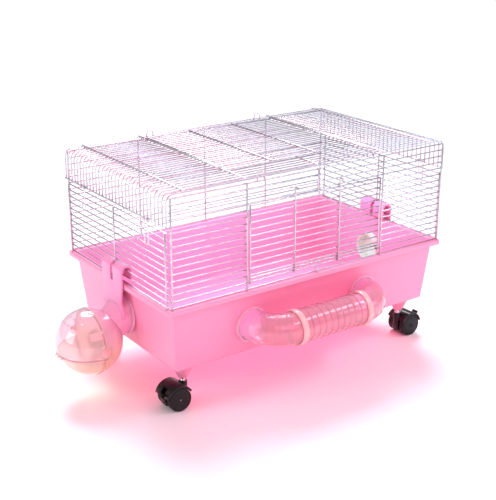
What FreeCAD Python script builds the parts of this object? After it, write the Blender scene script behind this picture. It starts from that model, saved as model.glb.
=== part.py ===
"""Hamster cage: a moulded tray on casters, a welded wire top with two doors, and a tube and ball outside.

Units are millimetres. X runs along the length, Y across the width from the front to the back, and Z up from
the floor. Every sub-part is laid out about the vertical axis through the tray's centre, and its Placement
then moves it so that the origin is the middle of the whole object's footprint.
"""
import FreeCAD, Part
import Sketcher
import math
import os

DIMENSIONS = {
    # the frame of the whole object
    "origin_shift_x": 50.95,
    "origin_shift_y": 34.25,
    # tray
    "rim_level": 190.0,
    "rim_length": 572.0,
    "rim_width": 340.0,
    "rim_corner": 8.0,
    "rim_thickness": 2.5,
    "rim_skirt_drop": 8.0,
    "wall_top_length": 551.0,
    "wall_top_width": 319.0,
    "wall_top_corner": 6.0,
    "floor_level": 76.0,
    "floor_length": 528.0,
    "floor_width": 300.0,
    "floor_corner": 5.0,
    "wall_thickness": 2.5,
    "rim_slot_length": 15.0,
    "rim_slot_width": 3.0,
    "rim_slot_spacing": 221.0,
    "rim_slot_inset": 3.0,
    "boss_top_radius": 20.0,
    "boss_bottom_radius": 8.5,
    "boss_height": 26.0,
    # wires
    "thin_wire_radius": 1.1,
    "thick_wire_radius": 1.4,
    "loop_wire_radius": 1.0,
    "loop_radius": 2.9,
    "small_loop_radius": 2.5,
    "wire_pitch": 10.9,
    "first_row": 2.4,
    "panel_half_length": 279.0,
    "panel_half_width": 164.0,
    "end_panel_offset": 280.0,
    "end_row_half_length": 160.0,
    "post_inset": 2.0,
    "top_row_inset": 1.6,
    "panel_height": 179.0,
    "end_panel_height": 124.0,
    "roof_height": 181.9,
    "roof_row_half_span": 163.5,
    "roof_leg_offset": 282.5,
    "roof_leg_end": 131.0,
    "roof_low_bar": 133.0,
    "roof_bend_radius": 12.0,
    "roof_side_bar": 250.0,
    # doors
    "door_post": 140.0,
    "door_half_length": 134.0,
    "door_rib": 46.0,
    "door_top_bar": 139.4,
    "door_bottom_bar": 19.0,
    "door_rib_top": 152.0,
    "door_hook_radius": 3.5,
    "top_door_hinge_bar": 135.2,
    "top_door_front": -103.0,
    "top_door_back": 147.0,
    "top_door_catch": -130.0,
    # latches
    "end_latch_drop": 38.0,
    "edge_latch_half_width": 6.5,
    "edge_latch_leg": 0.6,
    "front_latch_offset": 112.0,
    "back_latch_offset": 117.0,
    # hangers
    "hanger_plate_offset": 288.0,
    "hanger_thickness": 3.0,
    "hanger_bevel": 7.0,
    "hanger_inner_bevel": 5.0,
    "hanger_half_width": 36.0,
    "hanger_strap_half_width": 28.0,
    "hanger_top_half_width": 32.0,
    "hanger_strap_end": 158.0,
    "hanger_ring_top": 146.0,
    "hanger_slot_half_width": 4.0,
    "hanger_foot": 132.0,
    "hanger_prong_level": 218.5,
    "hanger_prong_thickness": 4.0,
    "hanger_prong_reach": 272.0,
    "hanger_prong_tip": 195.0,
    # ball
    "ball_x": -336.2,
    "ball_z": 93.3,
    "ball_radius": 54.4,
    "ball_wall": 1.8,
    "visor_radius": 56.7,
    "visor_wall": 1.7,
    "visor_overlap": 3.0,
    "split_drop": 10.0,
    "neck_radius": 27.0,
    "neck_wall": 2.0,
    "neck_start_radius": 24.0,
    "neck_end_radius": 33.0,
    "neck_flange_radius": 37.0,
    "neck_flange_thickness": 5.0,
    "neck_port_x": -269.5,
    "neck_port_z": 130.0,
    "neck_tilt": 61.0,
    "neck_length": 90.0,
    "neck_sleeve_reach": 2.0,
    "pivot_radius": 2.5,
    "pivot_head_radius": 4.5,
    "pivot_clearance": 0.05,
    "pivot_inner_end": 50.4,
    "pivot_head_start": 58.0,
    "pivot_head_thickness": 1.7,
    "visor_ear_radius": 8.0,
    "visor_ear_start": 53.7,
    "visor_ear_thickness": 4.0,
    "vent_radius": 1.5,
    "vent_tilt": 30.0,
    "vent_row_angle": 14.0,
    "vent_column_angle": 12.0,
    # front tube
    "tube_z": 126.0,
    "tube_radius": 26.5,
    "tube_wall": 2.0,
    "tube_centre": -6.0,
    "port_x": 118.0,
    "elbow_radius": 50.0,
    "elbow_start": -158.5,
    "stub_end": -147.0,
    "rib_count": 9.0,
    "rib_radius": 1.6,
    "ring_radius": 30.0,
    "ring_half_width": 5.0,
    "ring_clearance": 0.45,
    "collar_radius": 30.0,
    "collar_front": -161.0,
    "collar_depth": 12.0,
    # cap on the right port
    "cap_z": 130.0,
    "cap_flange_radius": 32.0,
    "cap_spigot_radius": 27.4,
    "cap_face": 277.0,
    "cap_inner_end": 260.0,
    "cap_dome_radius": 42.0,
    "cap_dome_centre": 245.5,
    "cap_wall": 2.0,
    "hole_clearance": 0.4,
    # casters
    "caster_x": 234.5,
    "caster_y": 121.0,
    "caster_trail": 16.5,
    "wheel_radius": 20.0,
    "wheel_width": 12.0,
    "wheel_inner_face": 8.5,
    "wheel_bevel": 1.4,
    "hub_radius": 12.0,
    "axle_cap_radius": 5.5,
    "axle_radius": 2.0,
    "axle_inset": 1.0,
    "running_clearance": 0.05,
    "web_half_width": 7.5,
    "web_overlap": 1.0,
    "web_bottom": 10.0,
    "fender_inner_radius": 21.0,
    "fender_outer_radius": 24.2,
    "fender_half_width": 20.5,
    "socket_radius": 7.0,
    "socket_top": 44.0,
    "socket_bottom": 22.0,
    "stem_radius": 4.0,
    "stem_bottom": 30.0,
    "stem_top": 73.0,
    "washer_radius": 6.0,
    "washer_thickness": 1.6,
    "brake_pivot_x": 21.6,
    "brake_pivot_z": 7.2,
    "brake_pin_radius": 1.1,
    "brake_half_width": 5.8,
    "brake_pin_reach": 4.0,
    "brake_notch_start": 14.0,
    "brake_notch_gap": 0.4,
    "brake_notch_level": 2.0,
    "brake_notch_height": 16.5,
    "lever_hub_radius": 1.4,
    "lever_reach": 9.0,
    "lever_tip_low": 6.0,
    "lever_tip_high": 9.0,
    "lever_tip_thickness": 2.0,
}

document = FreeCAD.newDocument("hamster_cage")
sheet = document.addObject("Spreadsheet::Sheet", "dims")
for row_number, (alias, amount) in enumerate(DIMENSIONS.items(), start=1):
    cell = f"A{row_number}"
    sheet.set(cell, str(amount))
    sheet.setAlias(cell, alias)
document.recompute()

X_AXIS = FreeCAD.Vector(1, 0, 0)
Y_AXIS = FreeCAD.Vector(0, 1, 0)
Z_AXIS = FreeCAD.Vector(0, 0, 1)
ALONG = {
    "x": FreeCAD.Rotation(Z_AXIS, X_AXIS),
    "y": FreeCAD.Rotation(Z_AXIS, Y_AXIS),
    "z": FreeCAD.Rotation(),
}
subparts = []


def value(expression):
    """The number that an expression on the sheet comes to."""
    result = sheet.evalExpression(expression)
    return float(getattr(result, "Value", result))


def bind(item, **expressions):
    """Ties properties of an object to expressions on the sheet."""
    for name, expression in expressions.items():
        item.setExpression(name, expression)


def place(item, where, rotation=None):
    """Turns an object, then ties its position to three expressions."""
    item.Placement = FreeCAD.Placement(FreeCAD.Vector(), rotation or FreeCAD.Rotation())
    for axis, expression in zip("xyz", where):
        item.setExpression(f"Placement.Base.{axis}", expression)
    return item


def cylinder(name, direction, start, length, radius):
    """A round bar from its start point, in the positive direction of an axis or along a Rotation."""
    item = document.addObject("Part::Cylinder", name)
    bind(item, Radius=radius, Height=length)
    return place(item, start, ALONG.get(direction) if isinstance(direction, str) else direction)


def sphere(name, centre, radius, seam=X_AXIS):
    """A ball with its poles along Y and its seam on one side, so that cuts leave whole faces."""
    item = document.addObject("Part::Sphere", name)
    bind(item, Radius=radius)
    return place(item, centre, FreeCAD.Rotation(seam, seam.cross(Y_AXIS) * -1, Y_AXIS, "ZXY"))


def box(name, corner, length, width, height):
    item = document.addObject("Part::Box", name)
    bind(item, Length=length, Width=width, Height=height)
    return place(item, corner)


def torus(name, centre, ring_radius, wire_radius, sweep=360, rotation=None):
    """A ring, or the part of a ring from its local X axis through an angle, lying in its local XY plane."""
    item = document.addObject("Part::Torus", name)
    bind(item, Radius1=ring_radius, Radius2=wire_radius)
    item.Angle3 = sweep
    return place(item, centre, rotation)


def fuse(name, members):
    item = document.addObject("Part::MultiFuse", name)
    item.Shapes = members
    return item


def cut(name, base, tools):
    """The base with every tool taken away."""
    item = document.addObject("Part::Cut", name)
    item.Base = base
    item.Tool = tools[0] if len(tools) == 1 else fuse(name + "_tools", tools)
    return item


def common(name, first, second):
    item = document.addObject("Part::MultiCommon", name)
    item.Shapes = [first, second]
    return item


def compound(name, members):
    item = document.addObject("Part::Compound", name)
    item.Links = members
    return item


def finish(item, label, x="0", y="0", rotation=None):
    """Names a sub-part and gives it its place in the object's frame."""
    item.Label = label
    place(item, (f"dims.origin_shift_x + {x}", f"dims.origin_shift_y + {y}", "0"), rotation)
    subparts.append(item)
    return item


def constrain(sketch, constraint, expression):
    """Adds a constraint whose size comes from the sheet."""
    index = sketch.addConstraint(constraint)
    sketch.setExpression(f"Constraints[{index}]", expression)


def rounded_rectangle(name, length, width, corner, level):
    """A level sketch of a rectangle with round corners, centred on the tray's axis."""
    sketch = document.addObject("Sketcher::SketchObject", name)
    place(sketch, ("0", "0", level))
    half_x, half_y, radius = value(length) / 2, value(width) / 2, value(corner)
    inner_x, inner_y = half_x - radius, half_y - radius
    ends = [
        ((-inner_x, -half_y), (inner_x, -half_y)),
        ((half_x, -inner_y), (half_x, inner_y)),
        ((inner_x, half_y), (-inner_x, half_y)),
        ((-half_x, inner_y), (-half_x, -inner_y)),
    ]
    for start, end in ends:
        sketch.addGeometry(Part.LineSegment(FreeCAD.Vector(*start, 0), FreeCAD.Vector(*end, 0)), False)
    centres = [(inner_x, -inner_y), (inner_x, inner_y), (-inner_x, inner_y), (-inner_x, -inner_y)]
    for quarter, centre in enumerate(centres):
        circle = Part.Circle(FreeCAD.Vector(*centre, 0), Z_AXIS, radius)
        start_angle = (quarter - 1) * math.pi / 2
        sketch.addGeometry(Part.ArcOfCircle(circle, start_angle, start_angle + math.pi / 2), False)
    for side in range(4):
        arc = 4 + side
        following = (side + 1) % 4
        sketch.addConstraint(Sketcher.Constraint("Tangent", side, 2, arc, 1))
        sketch.addConstraint(Sketcher.Constraint("Tangent", arc, 2, following, 1))
    for side, kind in enumerate(("Horizontal", "Vertical", "Horizontal", "Vertical")):
        sketch.addConstraint(Sketcher.Constraint(kind, side))
    for arc in (5, 6, 7):
        sketch.addConstraint(Sketcher.Constraint("Equal", 4, arc))
    sketch.addConstraint(Sketcher.Constraint("Symmetric", 0, 1, 2, 1, -1, 1))
    constrain(sketch, Sketcher.Constraint("Radius", 4, radius), corner)
    constrain(sketch, Sketcher.Constraint("DistanceX", 3, 1, 1, 1, 2 * half_x), length)
    constrain(sketch, Sketcher.Constraint("DistanceY", 0, 1, 2, 2, 2 * half_y), width)
    return sketch


def outline(body, name, plane, points, offset="0"):
    """A closed sketch of straight sides on one of a body's own planes, each corner tied to the sheet."""
    sketch = body.newObject("Sketcher::SketchObject", name)
    features = body.Origin.OriginFeatures
    sketch.AttachmentSupport = [next(item for item in features if item.Role == plane)]
    sketch.MapMode = "FlatFace"
    sketch.setExpression("AttachmentOffset.Base.z", offset)
    corners = [FreeCAD.Vector(value(across), value(up), 0) for across, up in points]
    count = len(corners)
    for index in range(count):
        sketch.addGeometry(Part.LineSegment(corners[index], corners[(index + 1) % count]), False)
    for index in range(count):
        sketch.addConstraint(Sketcher.Constraint("Coincident", index, 2, (index + 1) % count, 1))
    for index, (across, up) in enumerate(points):
        constrain(sketch, Sketcher.Constraint("DistanceX", -1, 1, index, 1, corners[index].x), across)
        constrain(sketch, Sketcher.Constraint("DistanceY", -1, 1, index, 1, corners[index].y), up)
    return sketch


def padded_body(name, plane, points, thickness, offset="0", both_ways=False):
    """A PartDesign body made by padding one outline."""
    body = document.addObject("PartDesign::Body", name)
    sketch = outline(body, name + "_outline", plane, points, offset)
    pad = body.newObject("PartDesign::Pad", name + "_pad")
    pad.Profile = sketch
    pad.Midplane = both_ways
    bind(pad, Length=thickness)
    return body


def turned_body(name, plane, points, axis_name):
    """A PartDesign body made by turning one outline about an axis of its own sketch."""
    body = document.addObject("PartDesign::Body", name)
    sketch = outline(body, name + "_outline", plane, points)
    turn = body.newObject("PartDesign::Revolution", name + "_turn")
    turn.Profile = sketch
    turn.ReferenceAxis = (sketch, [axis_name])
    turn.Angle = 360
    return body


# ---------------------------------------------------------------------------------------------- tray

def loft(name, top, bottom):
    item = document.addObject("Part::Loft", name)
    item.Sections = [bottom, top]
    item.Solid = True
    item.Ruled = True
    return item


def tray_outer(name):
    """The tub as a solid block, without its rim."""
    top = rounded_rectangle(name + "_top", "dims.wall_top_length", "dims.wall_top_width",
                            "dims.wall_top_corner", "dims.rim_level")
    bottom = rounded_rectangle(name + "_bottom", "dims.floor_length", "dims.floor_width",
                               "dims.floor_corner", "dims.floor_level")
    return loft(name, top, bottom)


def tray_inner(name):
    """The room inside the tub, which runs out through the top."""
    step = "2 * dims.wall_thickness"
    top = rounded_rectangle(name + "_top", f"dims.wall_top_length - {step}", f"dims.wall_top_width - {step}",
                            "dims.wall_top_corner - dims.wall_thickness", "dims.rim_level")
    bottom = rounded_rectangle(name + "_bottom", f"dims.floor_length - {step}", f"dims.floor_width - {step}",
                               "dims.floor_corner - dims.wall_thickness",
                               "dims.floor_level + dims.wall_thickness")
    return loft(name, top, bottom)


def rim_plate(name, inset, bottom, height):
    """A rounded plate of the rim's outline, made smaller all round by an inset."""
    sketch = rounded_rectangle(name + "_outline", f"dims.rim_length - 2 * ({inset})",
                               f"dims.rim_width - 2 * ({inset})", f"dims.rim_corner - ({inset})", bottom)
    item = document.addObject("Part::Extrusion", name)
    item.Base = sketch
    item.DirMode = "Custom"
    item.Dir = Z_AXIS
    item.Solid = True
    bind(item, LengthFwd=height)
    return item


BALL_CENTRE = ("dims.ball_x", "0", "dims.ball_z")
NECK_TRIM_REACH = "(1.5 * dims.visor_radius)"


def neck_port_bar(name, radius, length):
    """A bar along X through the port in the left wall, from the neck flange's outer face inwards."""
    start = ("dims.neck_port_x - dims.neck_flange_thickness", "0", "dims.neck_port_z")
    return cylinder(name, "x", start, length, radius)


def neck_cone(name, growth):
    """The neck's flare from the ball's centre outwards, with a growth added to its radius all along."""
    item = document.addObject("Part::Cone", name)
    bind(item, Radius1=f"dims.neck_start_radius + ({growth})", Radius2=f"dims.neck_end_radius + ({growth})",
         Height="dims.neck_length")
    return place(item, BALL_CENTRE, FreeCAD.Rotation(Y_AXIS, value("dims.neck_tilt")))


def port_bar(name, side, radius, start, length):
    """A bar along Y through one of the two ports in the front wall."""
    across = f"dims.tube_centre + {side} * dims.port_x"
    return cylinder(name, "y", (across, start, "dims.tube_z"), length, radius)


PORT_DEPTH = "(dims.rim_length - dims.floor_length)"


def build_tray():
    rim_bottom = "dims.rim_level - dims.rim_thickness"
    skirt_bottom = "dims.rim_level - dims.rim_skirt_drop"
    rim = rim_plate("rim", "0", rim_bottom, "dims.rim_thickness")
    skirt_outer = rim_plate("skirt_outer", "0", skirt_bottom, "dims.rim_skirt_drop")
    skirt_inner = rim_plate("skirt_inner", "dims.rim_thickness", skirt_bottom, "dims.rim_skirt_drop")
    skirt = cut("skirt", skirt_outer, [skirt_inner])
    solids = [tray_outer("tub"), rim, skirt]
    holes = [tray_inner("tub_room")]
    for x_side in (-1, 1):
        for y_side in (-1, 1):
            corner = f"{x_side} * dims.caster_x", f"{y_side} * dims.caster_y"
            name = f"boss_{x_side + 1}{y_side + 1}"
            boss = document.addObject("Part::Cone", name)
            bind(boss, Radius1="dims.boss_bottom_radius", Radius2="dims.boss_top_radius",
                 Height="dims.boss_height")
            solids.append(place(boss, (*corner, "dims.floor_level - dims.boss_height")))
            bore_start = "dims.floor_level - dims.boss_height"
            holes.append(cylinder(name + "_bore", "z", (*corner, bore_start),
                                  "dims.stem_top - dims.floor_level + dims.boss_height",
                                  "dims.stem_radius + dims.running_clearance"))
    hole_radius = "dims.tube_radius + dims.hole_clearance"
    for side in (-1, 1):
        holes.append(port_bar(f"port_{side + 1}", side, hole_radius, "-dims.rim_width / 2", PORT_DEPTH))
    holes.append(neck_port_bar("neck_port", "dims.neck_radius + dims.hole_clearance", PORT_DEPTH))
    holes.append(cylinder("cap_port", "x", ("dims.cap_inner_end - dims.cap_wall", "0", "dims.cap_z"),
                          PORT_DEPTH, "dims.cap_spigot_radius + dims.hole_clearance"))
    for side in (-1, 1):
        for step in (-1, 0, 1):
            corner = (f"{step} * dims.rim_slot_spacing - dims.rim_slot_length / 2",
                      f"{side} * (dims.rim_width / 2 - dims.rim_slot_inset) - dims.rim_slot_width / 2",
                      "dims.rim_level - 2 * dims.rim_thickness")
            holes.append(box(f"rim_slot_{side + 1}{step + 1}", corner, "dims.rim_slot_length",
                             "dims.rim_slot_width", "3 * dims.rim_thickness"))
    return finish(cut("tray_body", fuse("tray_solids", solids), holes), "tray")


# ------------------------------------------------------------------------------------- welded panels

def row_level(row):
    """Height of a level wire, counted from the tray's rim."""
    return f"dims.rim_level + dims.first_row + {row} * dims.wire_pitch"


def thin_bar(name, direction, start, length):
    return cylinder(name, direction, start, length, "dims.thin_wire_radius")


def thick_bar(name, direction, start, length):
    return cylinder(name, direction, start, length, "dims.thick_wire_radius")


DOOR_ROWS = range(2, 13)
PANEL_ROWS = range(17)
END_PANEL_ROWS = range(12)
POST_FACE = "dims.panel_half_width + dims.thin_wire_radius + dims.thick_wire_radius"
LAST_POST = "(dims.panel_half_length - dims.post_inset)"


def panel_row(name, row, across):
    """A long level wire from end to end; the top one stops short of the roof's bends."""
    half = "dims.panel_half_length"
    if row == PANEL_ROWS[-1]:
        half = "(dims.panel_half_length - dims.top_row_inset)"
    return thin_bar(name, "x", (f"-{half}", across, row_level(row)), f"2 * {half}")


def build_front_panel():
    wires = []
    half, edge, door = "dims.panel_half_length", "-dims.panel_half_width", "dims.door_post"
    for row in PANEL_ROWS:
        if row in DOOR_ROWS:
            level = row_level(row)
            side_length = f"{half} - {door}"
            wires.append(thin_bar(f"front_row_{row}_left", "x", (f"-{half}", edge, level), side_length))
            wires.append(thin_bar(f"front_row_{row}_right", "x", (door, edge, level), side_length))
        else:
            wires.append(panel_row(f"front_row_{row}", row, edge))
    for index, across in enumerate((f"-{LAST_POST}", f"-{door}", door, LAST_POST)):
        where = (across, f"-({POST_FACE})", "dims.rim_level")
        wires.append(thick_bar(f"front_post_{index}", "z", where, "dims.panel_height"))
    stub_start = "dims.door_top_bar + 2 * dims.thick_wire_radius"
    wires.append(thick_bar("front_stub_top", "z", ("0", f"-({POST_FACE})", f"dims.rim_level + {stub_start}"),
                           f"dims.panel_height - ({stub_start})"))
    wires.append(thick_bar("front_stub_low", "z", ("0", f"-({POST_FACE})", "dims.rim_level"),
                           "dims.first_row + dims.wire_pitch"))
    return finish(compound("front_wires", wires), "front_panel")


def build_back_panel():
    wires = [panel_row(f"back_row_{row}", row, "dims.panel_half_width") for row in PANEL_ROWS]
    posts = (f"-{LAST_POST}", "-dims.door_post", "0", "dims.door_post", LAST_POST)
    for index, across in enumerate(posts):
        wires.append(thick_bar(f"back_post_{index}", "z", (across, POST_FACE, "dims.rim_level"),
                               "dims.panel_height"))
    return finish(compound("back_wires", wires), "back_panel")


def build_end_panel(side, label):
    """One short side: its top strip belongs to the roof, which is bent down over it."""
    wires = []
    half = "dims.end_row_half_length"
    for row in END_PANEL_ROWS:
        where = (f"{side} * dims.end_panel_offset", f"-{half}", row_level(row))
        wires.append(thin_bar(f"{label}_row_{row}", "y", where, f"2 * {half}"))
    face = f"{side} * (dims.end_panel_offset + dims.thin_wire_radius + dims.thick_wire_radius)"
    for index, across in enumerate((f"-({half} - dims.post_inset)", "0", f"{half} - dims.post_inset")):
        wires.append(thick_bar(f"{label}_post_{index}", "z", (face, across, "dims.rim_level"),
                               "dims.end_panel_height"))
    return finish(compound(f"{label}_wires", wires), label)


ROOF_ROWS = range(31)
TOP_DOOR_ROWS = range(6, 29)
TOP_DOOR_LOOP_ROWS = (6.5, 17.5, 27.5)
ROOF_LEVEL = "dims.rim_level + dims.roof_height"
ROOF_BAR_LEVEL = f"{ROOF_LEVEL} + dims.thin_wire_radius + dims.thick_wire_radius"
LOW_BAR_LEVEL = "dims.rim_level + dims.roof_low_bar"
LOW_BAR_OFFSET = "(dims.roof_leg_offset + dims.thin_wire_radius + dims.thick_wire_radius)"
BEND_START = "(dims.roof_leg_offset - dims.roof_bend_radius)"


def roof_row(row):
    """Place across the width of one long roof wire."""
    return f"{row} * dims.wire_pitch - dims.roof_row_half_span"


def bent_leg(name, side, across):
    """The end of a roof wire: a quarter bend and a straight leg down, as one swept bar."""
    start_x, leg_x = value(BEND_START), value("dims.roof_leg_offset")
    top, low = value(ROOF_LEVEL), value("dims.rim_level + dims.roof_leg_end")
    bend = leg_x - start_x
    middle = bend * math.sqrt(0.5)
    start = FreeCAD.Vector(side * start_x, value(across), top)
    half_way = FreeCAD.Vector(side * (start_x + middle), start.y, top - bend + middle)
    turned = FreeCAD.Vector(side * leg_x, start.y, top - bend)
    foot = FreeCAD.Vector(side * leg_x, start.y, low)
    path = Part.Wire([Part.Arc(start, half_way, turned).toShape(), Part.LineSegment(turned, foot).toShape()])
    ring = Part.Wire([Part.Circle(start, X_AXIS, value("dims.thin_wire_radius")).toShape()])
    item = document.addObject("Part::Feature", name)
    item.Shape = path.makePipeShell([ring], True, False)
    return item


def build_roof():
    wires = []
    door = "dims.door_post"
    for row in ROOF_ROWS:
        across = roof_row(row)
        if row in TOP_DOOR_ROWS:
            side_length = f"{BEND_START} - {door}"
            wires.append(thin_bar(f"roof_row_{row}_left", "x", (f"-{BEND_START}", across, ROOF_LEVEL),
                                  side_length))
            wires.append(thin_bar(f"roof_row_{row}_right", "x", (door, across, ROOF_LEVEL), side_length))
        else:
            wires.append(thin_bar(f"roof_row_{row}", "x", (f"-{BEND_START}", across, ROOF_LEVEL),
                                  f"2 * {BEND_START}"))
        wires.append(bent_leg(f"roof_leg_{row}_left", -1, across))
        wires.append(bent_leg(f"roof_leg_{row}_right", 1, across))
    bars = ("-dims.roof_side_bar", f"-{door}", door, "dims.roof_side_bar")
    for index, along in enumerate(bars):
        wires.append(thick_bar(f"roof_bar_{index}", "y", (along, "-dims.roof_row_half_span", ROOF_BAR_LEVEL),
                               "2 * dims.roof_row_half_span"))
    wires.append(thick_bar("roof_stub", "y", ("0", "-dims.roof_row_half_span", ROOF_BAR_LEVEL),
                           "dims.roof_row_half_span + dims.top_door_front - 2 * dims.thick_wire_radius"))
    for side in (-1, 1):
        where = (f"{side} * {LOW_BAR_OFFSET}", "-dims.roof_row_half_span", LOW_BAR_LEVEL)
        wires.append(thick_bar(f"roof_low_bar_{side + 1}", "y", where, "2 * dims.roof_row_half_span"))
    return finish(compound("roof_wires", wires), "roof_panel")


# ---------------------------------------------------------------------------------------------- doors

def build_front_door():
    """Drops forward on four loops that wrap round the second level wire of the front panel."""
    wires = []
    half, edge = "dims.door_half_length", "-dims.panel_half_width"
    face = f"-({POST_FACE})"
    hinge = row_level(1)
    for row in DOOR_ROWS:
        wires.append(thin_bar(f"door_row_{row}", "x", (f"-{half}", edge, row_level(row)), f"2 * {half}"))
    bar_depth = f"{face} + 2 * dims.thick_wire_radius"
    for name, level in (("top", "dims.door_top_bar"), ("bottom", "dims.door_bottom_bar")):
        where = (f"-{half}", bar_depth, f"dims.rim_level + {level}")
        wires.append(thick_bar(f"door_{name}_bar", "x", where, f"2 * {half}"))
    for index, (side, distance, top) in enumerate((
            (-1, half, "dims.door_top_bar + dims.thick_wire_radius"),
            (1, half, "dims.door_top_bar + dims.thick_wire_radius"),
            (-1, "dims.door_rib", "dims.door_rib_top"),
            (1, "dims.door_rib", "dims.door_rib_top"))):
        across = f"{side} * {distance}"
        post = thick_bar(f"door_post_{index}", "z", (across, face, hinge),
                         f"dims.rim_level + {top} - ({hinge})")
        loop = torus(f"door_loop_{index}", (across, edge, hinge), "dims.small_loop_radius",
                     "dims.loop_wire_radius", rotation=ALONG["x"])
        wires.append(fuse(f"door_upright_{index}", [post, loop]))
    for side in (-1, 1):
        where = (f"{side} * dims.door_rib", f"{face} - dims.door_hook_radius",
                 "dims.rim_level + dims.door_rib_top")
        upright_arc = FreeCAD.Rotation(Y_AXIS, Z_AXIS, X_AXIS, "ZXY")
        wires.append(torus(f"door_hook_{side + 1}", where, "dims.door_hook_radius", "dims.thick_wire_radius",
                           sweep=180, rotation=upright_arc))
    return finish(compound("front_door_wires", wires), "front_door")


def build_top_door():
    """Lifts on three loops round the left cross bar of the roof; its right bar runs on as the catch."""
    wires = []
    hinge_bar = "-dims.top_door_hinge_bar"
    length = "dims.top_door_hinge_bar + dims.door_half_length"
    for row in TOP_DOOR_ROWS:
        wires.append(thin_bar(f"top_door_row_{row}", "x", (hinge_bar, roof_row(row), ROOF_LEVEL), length))
    bars = ((hinge_bar, "dims.top_door_front"), ("-dims.door_rib", "dims.top_door_front"),
            ("dims.door_rib", "dims.top_door_front"), ("dims.door_half_length", "dims.top_door_catch"))
    for index, (along, front) in enumerate(bars):
        bar = thick_bar(f"top_door_bar_{index}", "y", (along, front, ROOF_BAR_LEVEL),
                        f"dims.top_door_back - ({front})")
        if index:
            wires.append(bar)
            continue
        loops = []
        for row in TOP_DOOR_LOOP_ROWS:
            where = ("-dims.door_post", roof_row(row), ROOF_BAR_LEVEL)
            loops.append(torus(f"top_door_loop_{int(row)}", where, "dims.loop_radius",
                               "dims.loop_wire_radius", rotation=ALONG["y"]))
        wires.append(fuse("top_door_hinge_side", [bar, *loops]))
    return finish(compound("top_door_wires", wires), "top_door")


# -------------------------------------------------------------------------------------------- latches

END_LATCH_ROWS = ((5, "front"), (24, "back"))


def latch(label, along, centre, half_width, ring_radius, leg_length, up):
    """A bent wire clip: two eyes round a bar, two legs, and a round end that joins them.

    along is the bar's direction, x or y; the legs hang down, or stand up when up is 1.
    """
    pieces = []
    way = 1 if up else -1
    leg_start = f"({centre[2]}) + {way} * ({ring_radius})"
    far_end = f"{leg_start} + {way} * ({leg_length})"
    low_end = leg_start if up else far_end
    for side in (-1, 1):
        shift = f"{side} * ({half_width})"
        spot = [centre[0], centre[1]]
        axis = "xy".index(along)
        spot[axis] = f"({spot[axis]}) + {shift}"
        pieces.append(torus(f"{label}_eye_{side + 1}", (*spot, centre[2]), ring_radius,
                            "dims.loop_wire_radius", rotation=ALONG[along]))
        pieces.append(cylinder(f"{label}_leg_{side + 1}", "z", (*spot, low_end), leg_length,
                               "dims.loop_wire_radius"))
    across = X_AXIS if along == "x" else Y_AXIS
    arc_turn = FreeCAD.Rotation(across, Z_AXIS * way, across.cross(Z_AXIS) * way, "ZXY")
    pieces.append(torus(f"{label}_end", (centre[0], centre[1], far_end), half_width, "dims.loop_wire_radius",
                        sweep=180, rotation=arc_turn))
    return finish(fuse(f"{label}_wire", pieces), label)


def build_latches():
    drop = "dims.end_latch_drop - dims.wire_pitch / 2"
    for side, end in ((-1, "left"), (1, "right")):
        for row, place_name in END_LATCH_ROWS:
            centre = (f"{side} * {LOW_BAR_OFFSET}", roof_row(row), LOW_BAR_LEVEL)
            latch(f"latch_{end}_{place_name}", "y", centre, "dims.wire_pitch / 2", "dims.loop_radius", drop,
                  False)
    for side, name in ((-1, "left"), (1, "right")):
        for edge, sign in (("front", -1), ("back", 1)):
            centre = (f"{side} * dims.{edge}_latch_offset", f"{sign} * dims.roof_row_half_span", ROOF_LEVEL)
            latch(f"latch_{edge}_{name}", "x", centre, "dims.edge_latch_half_width", "dims.small_loop_radius",
                  "dims.edge_latch_leg", True)


# ------------------------------------------------------------------------------------ hangers and ball

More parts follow.
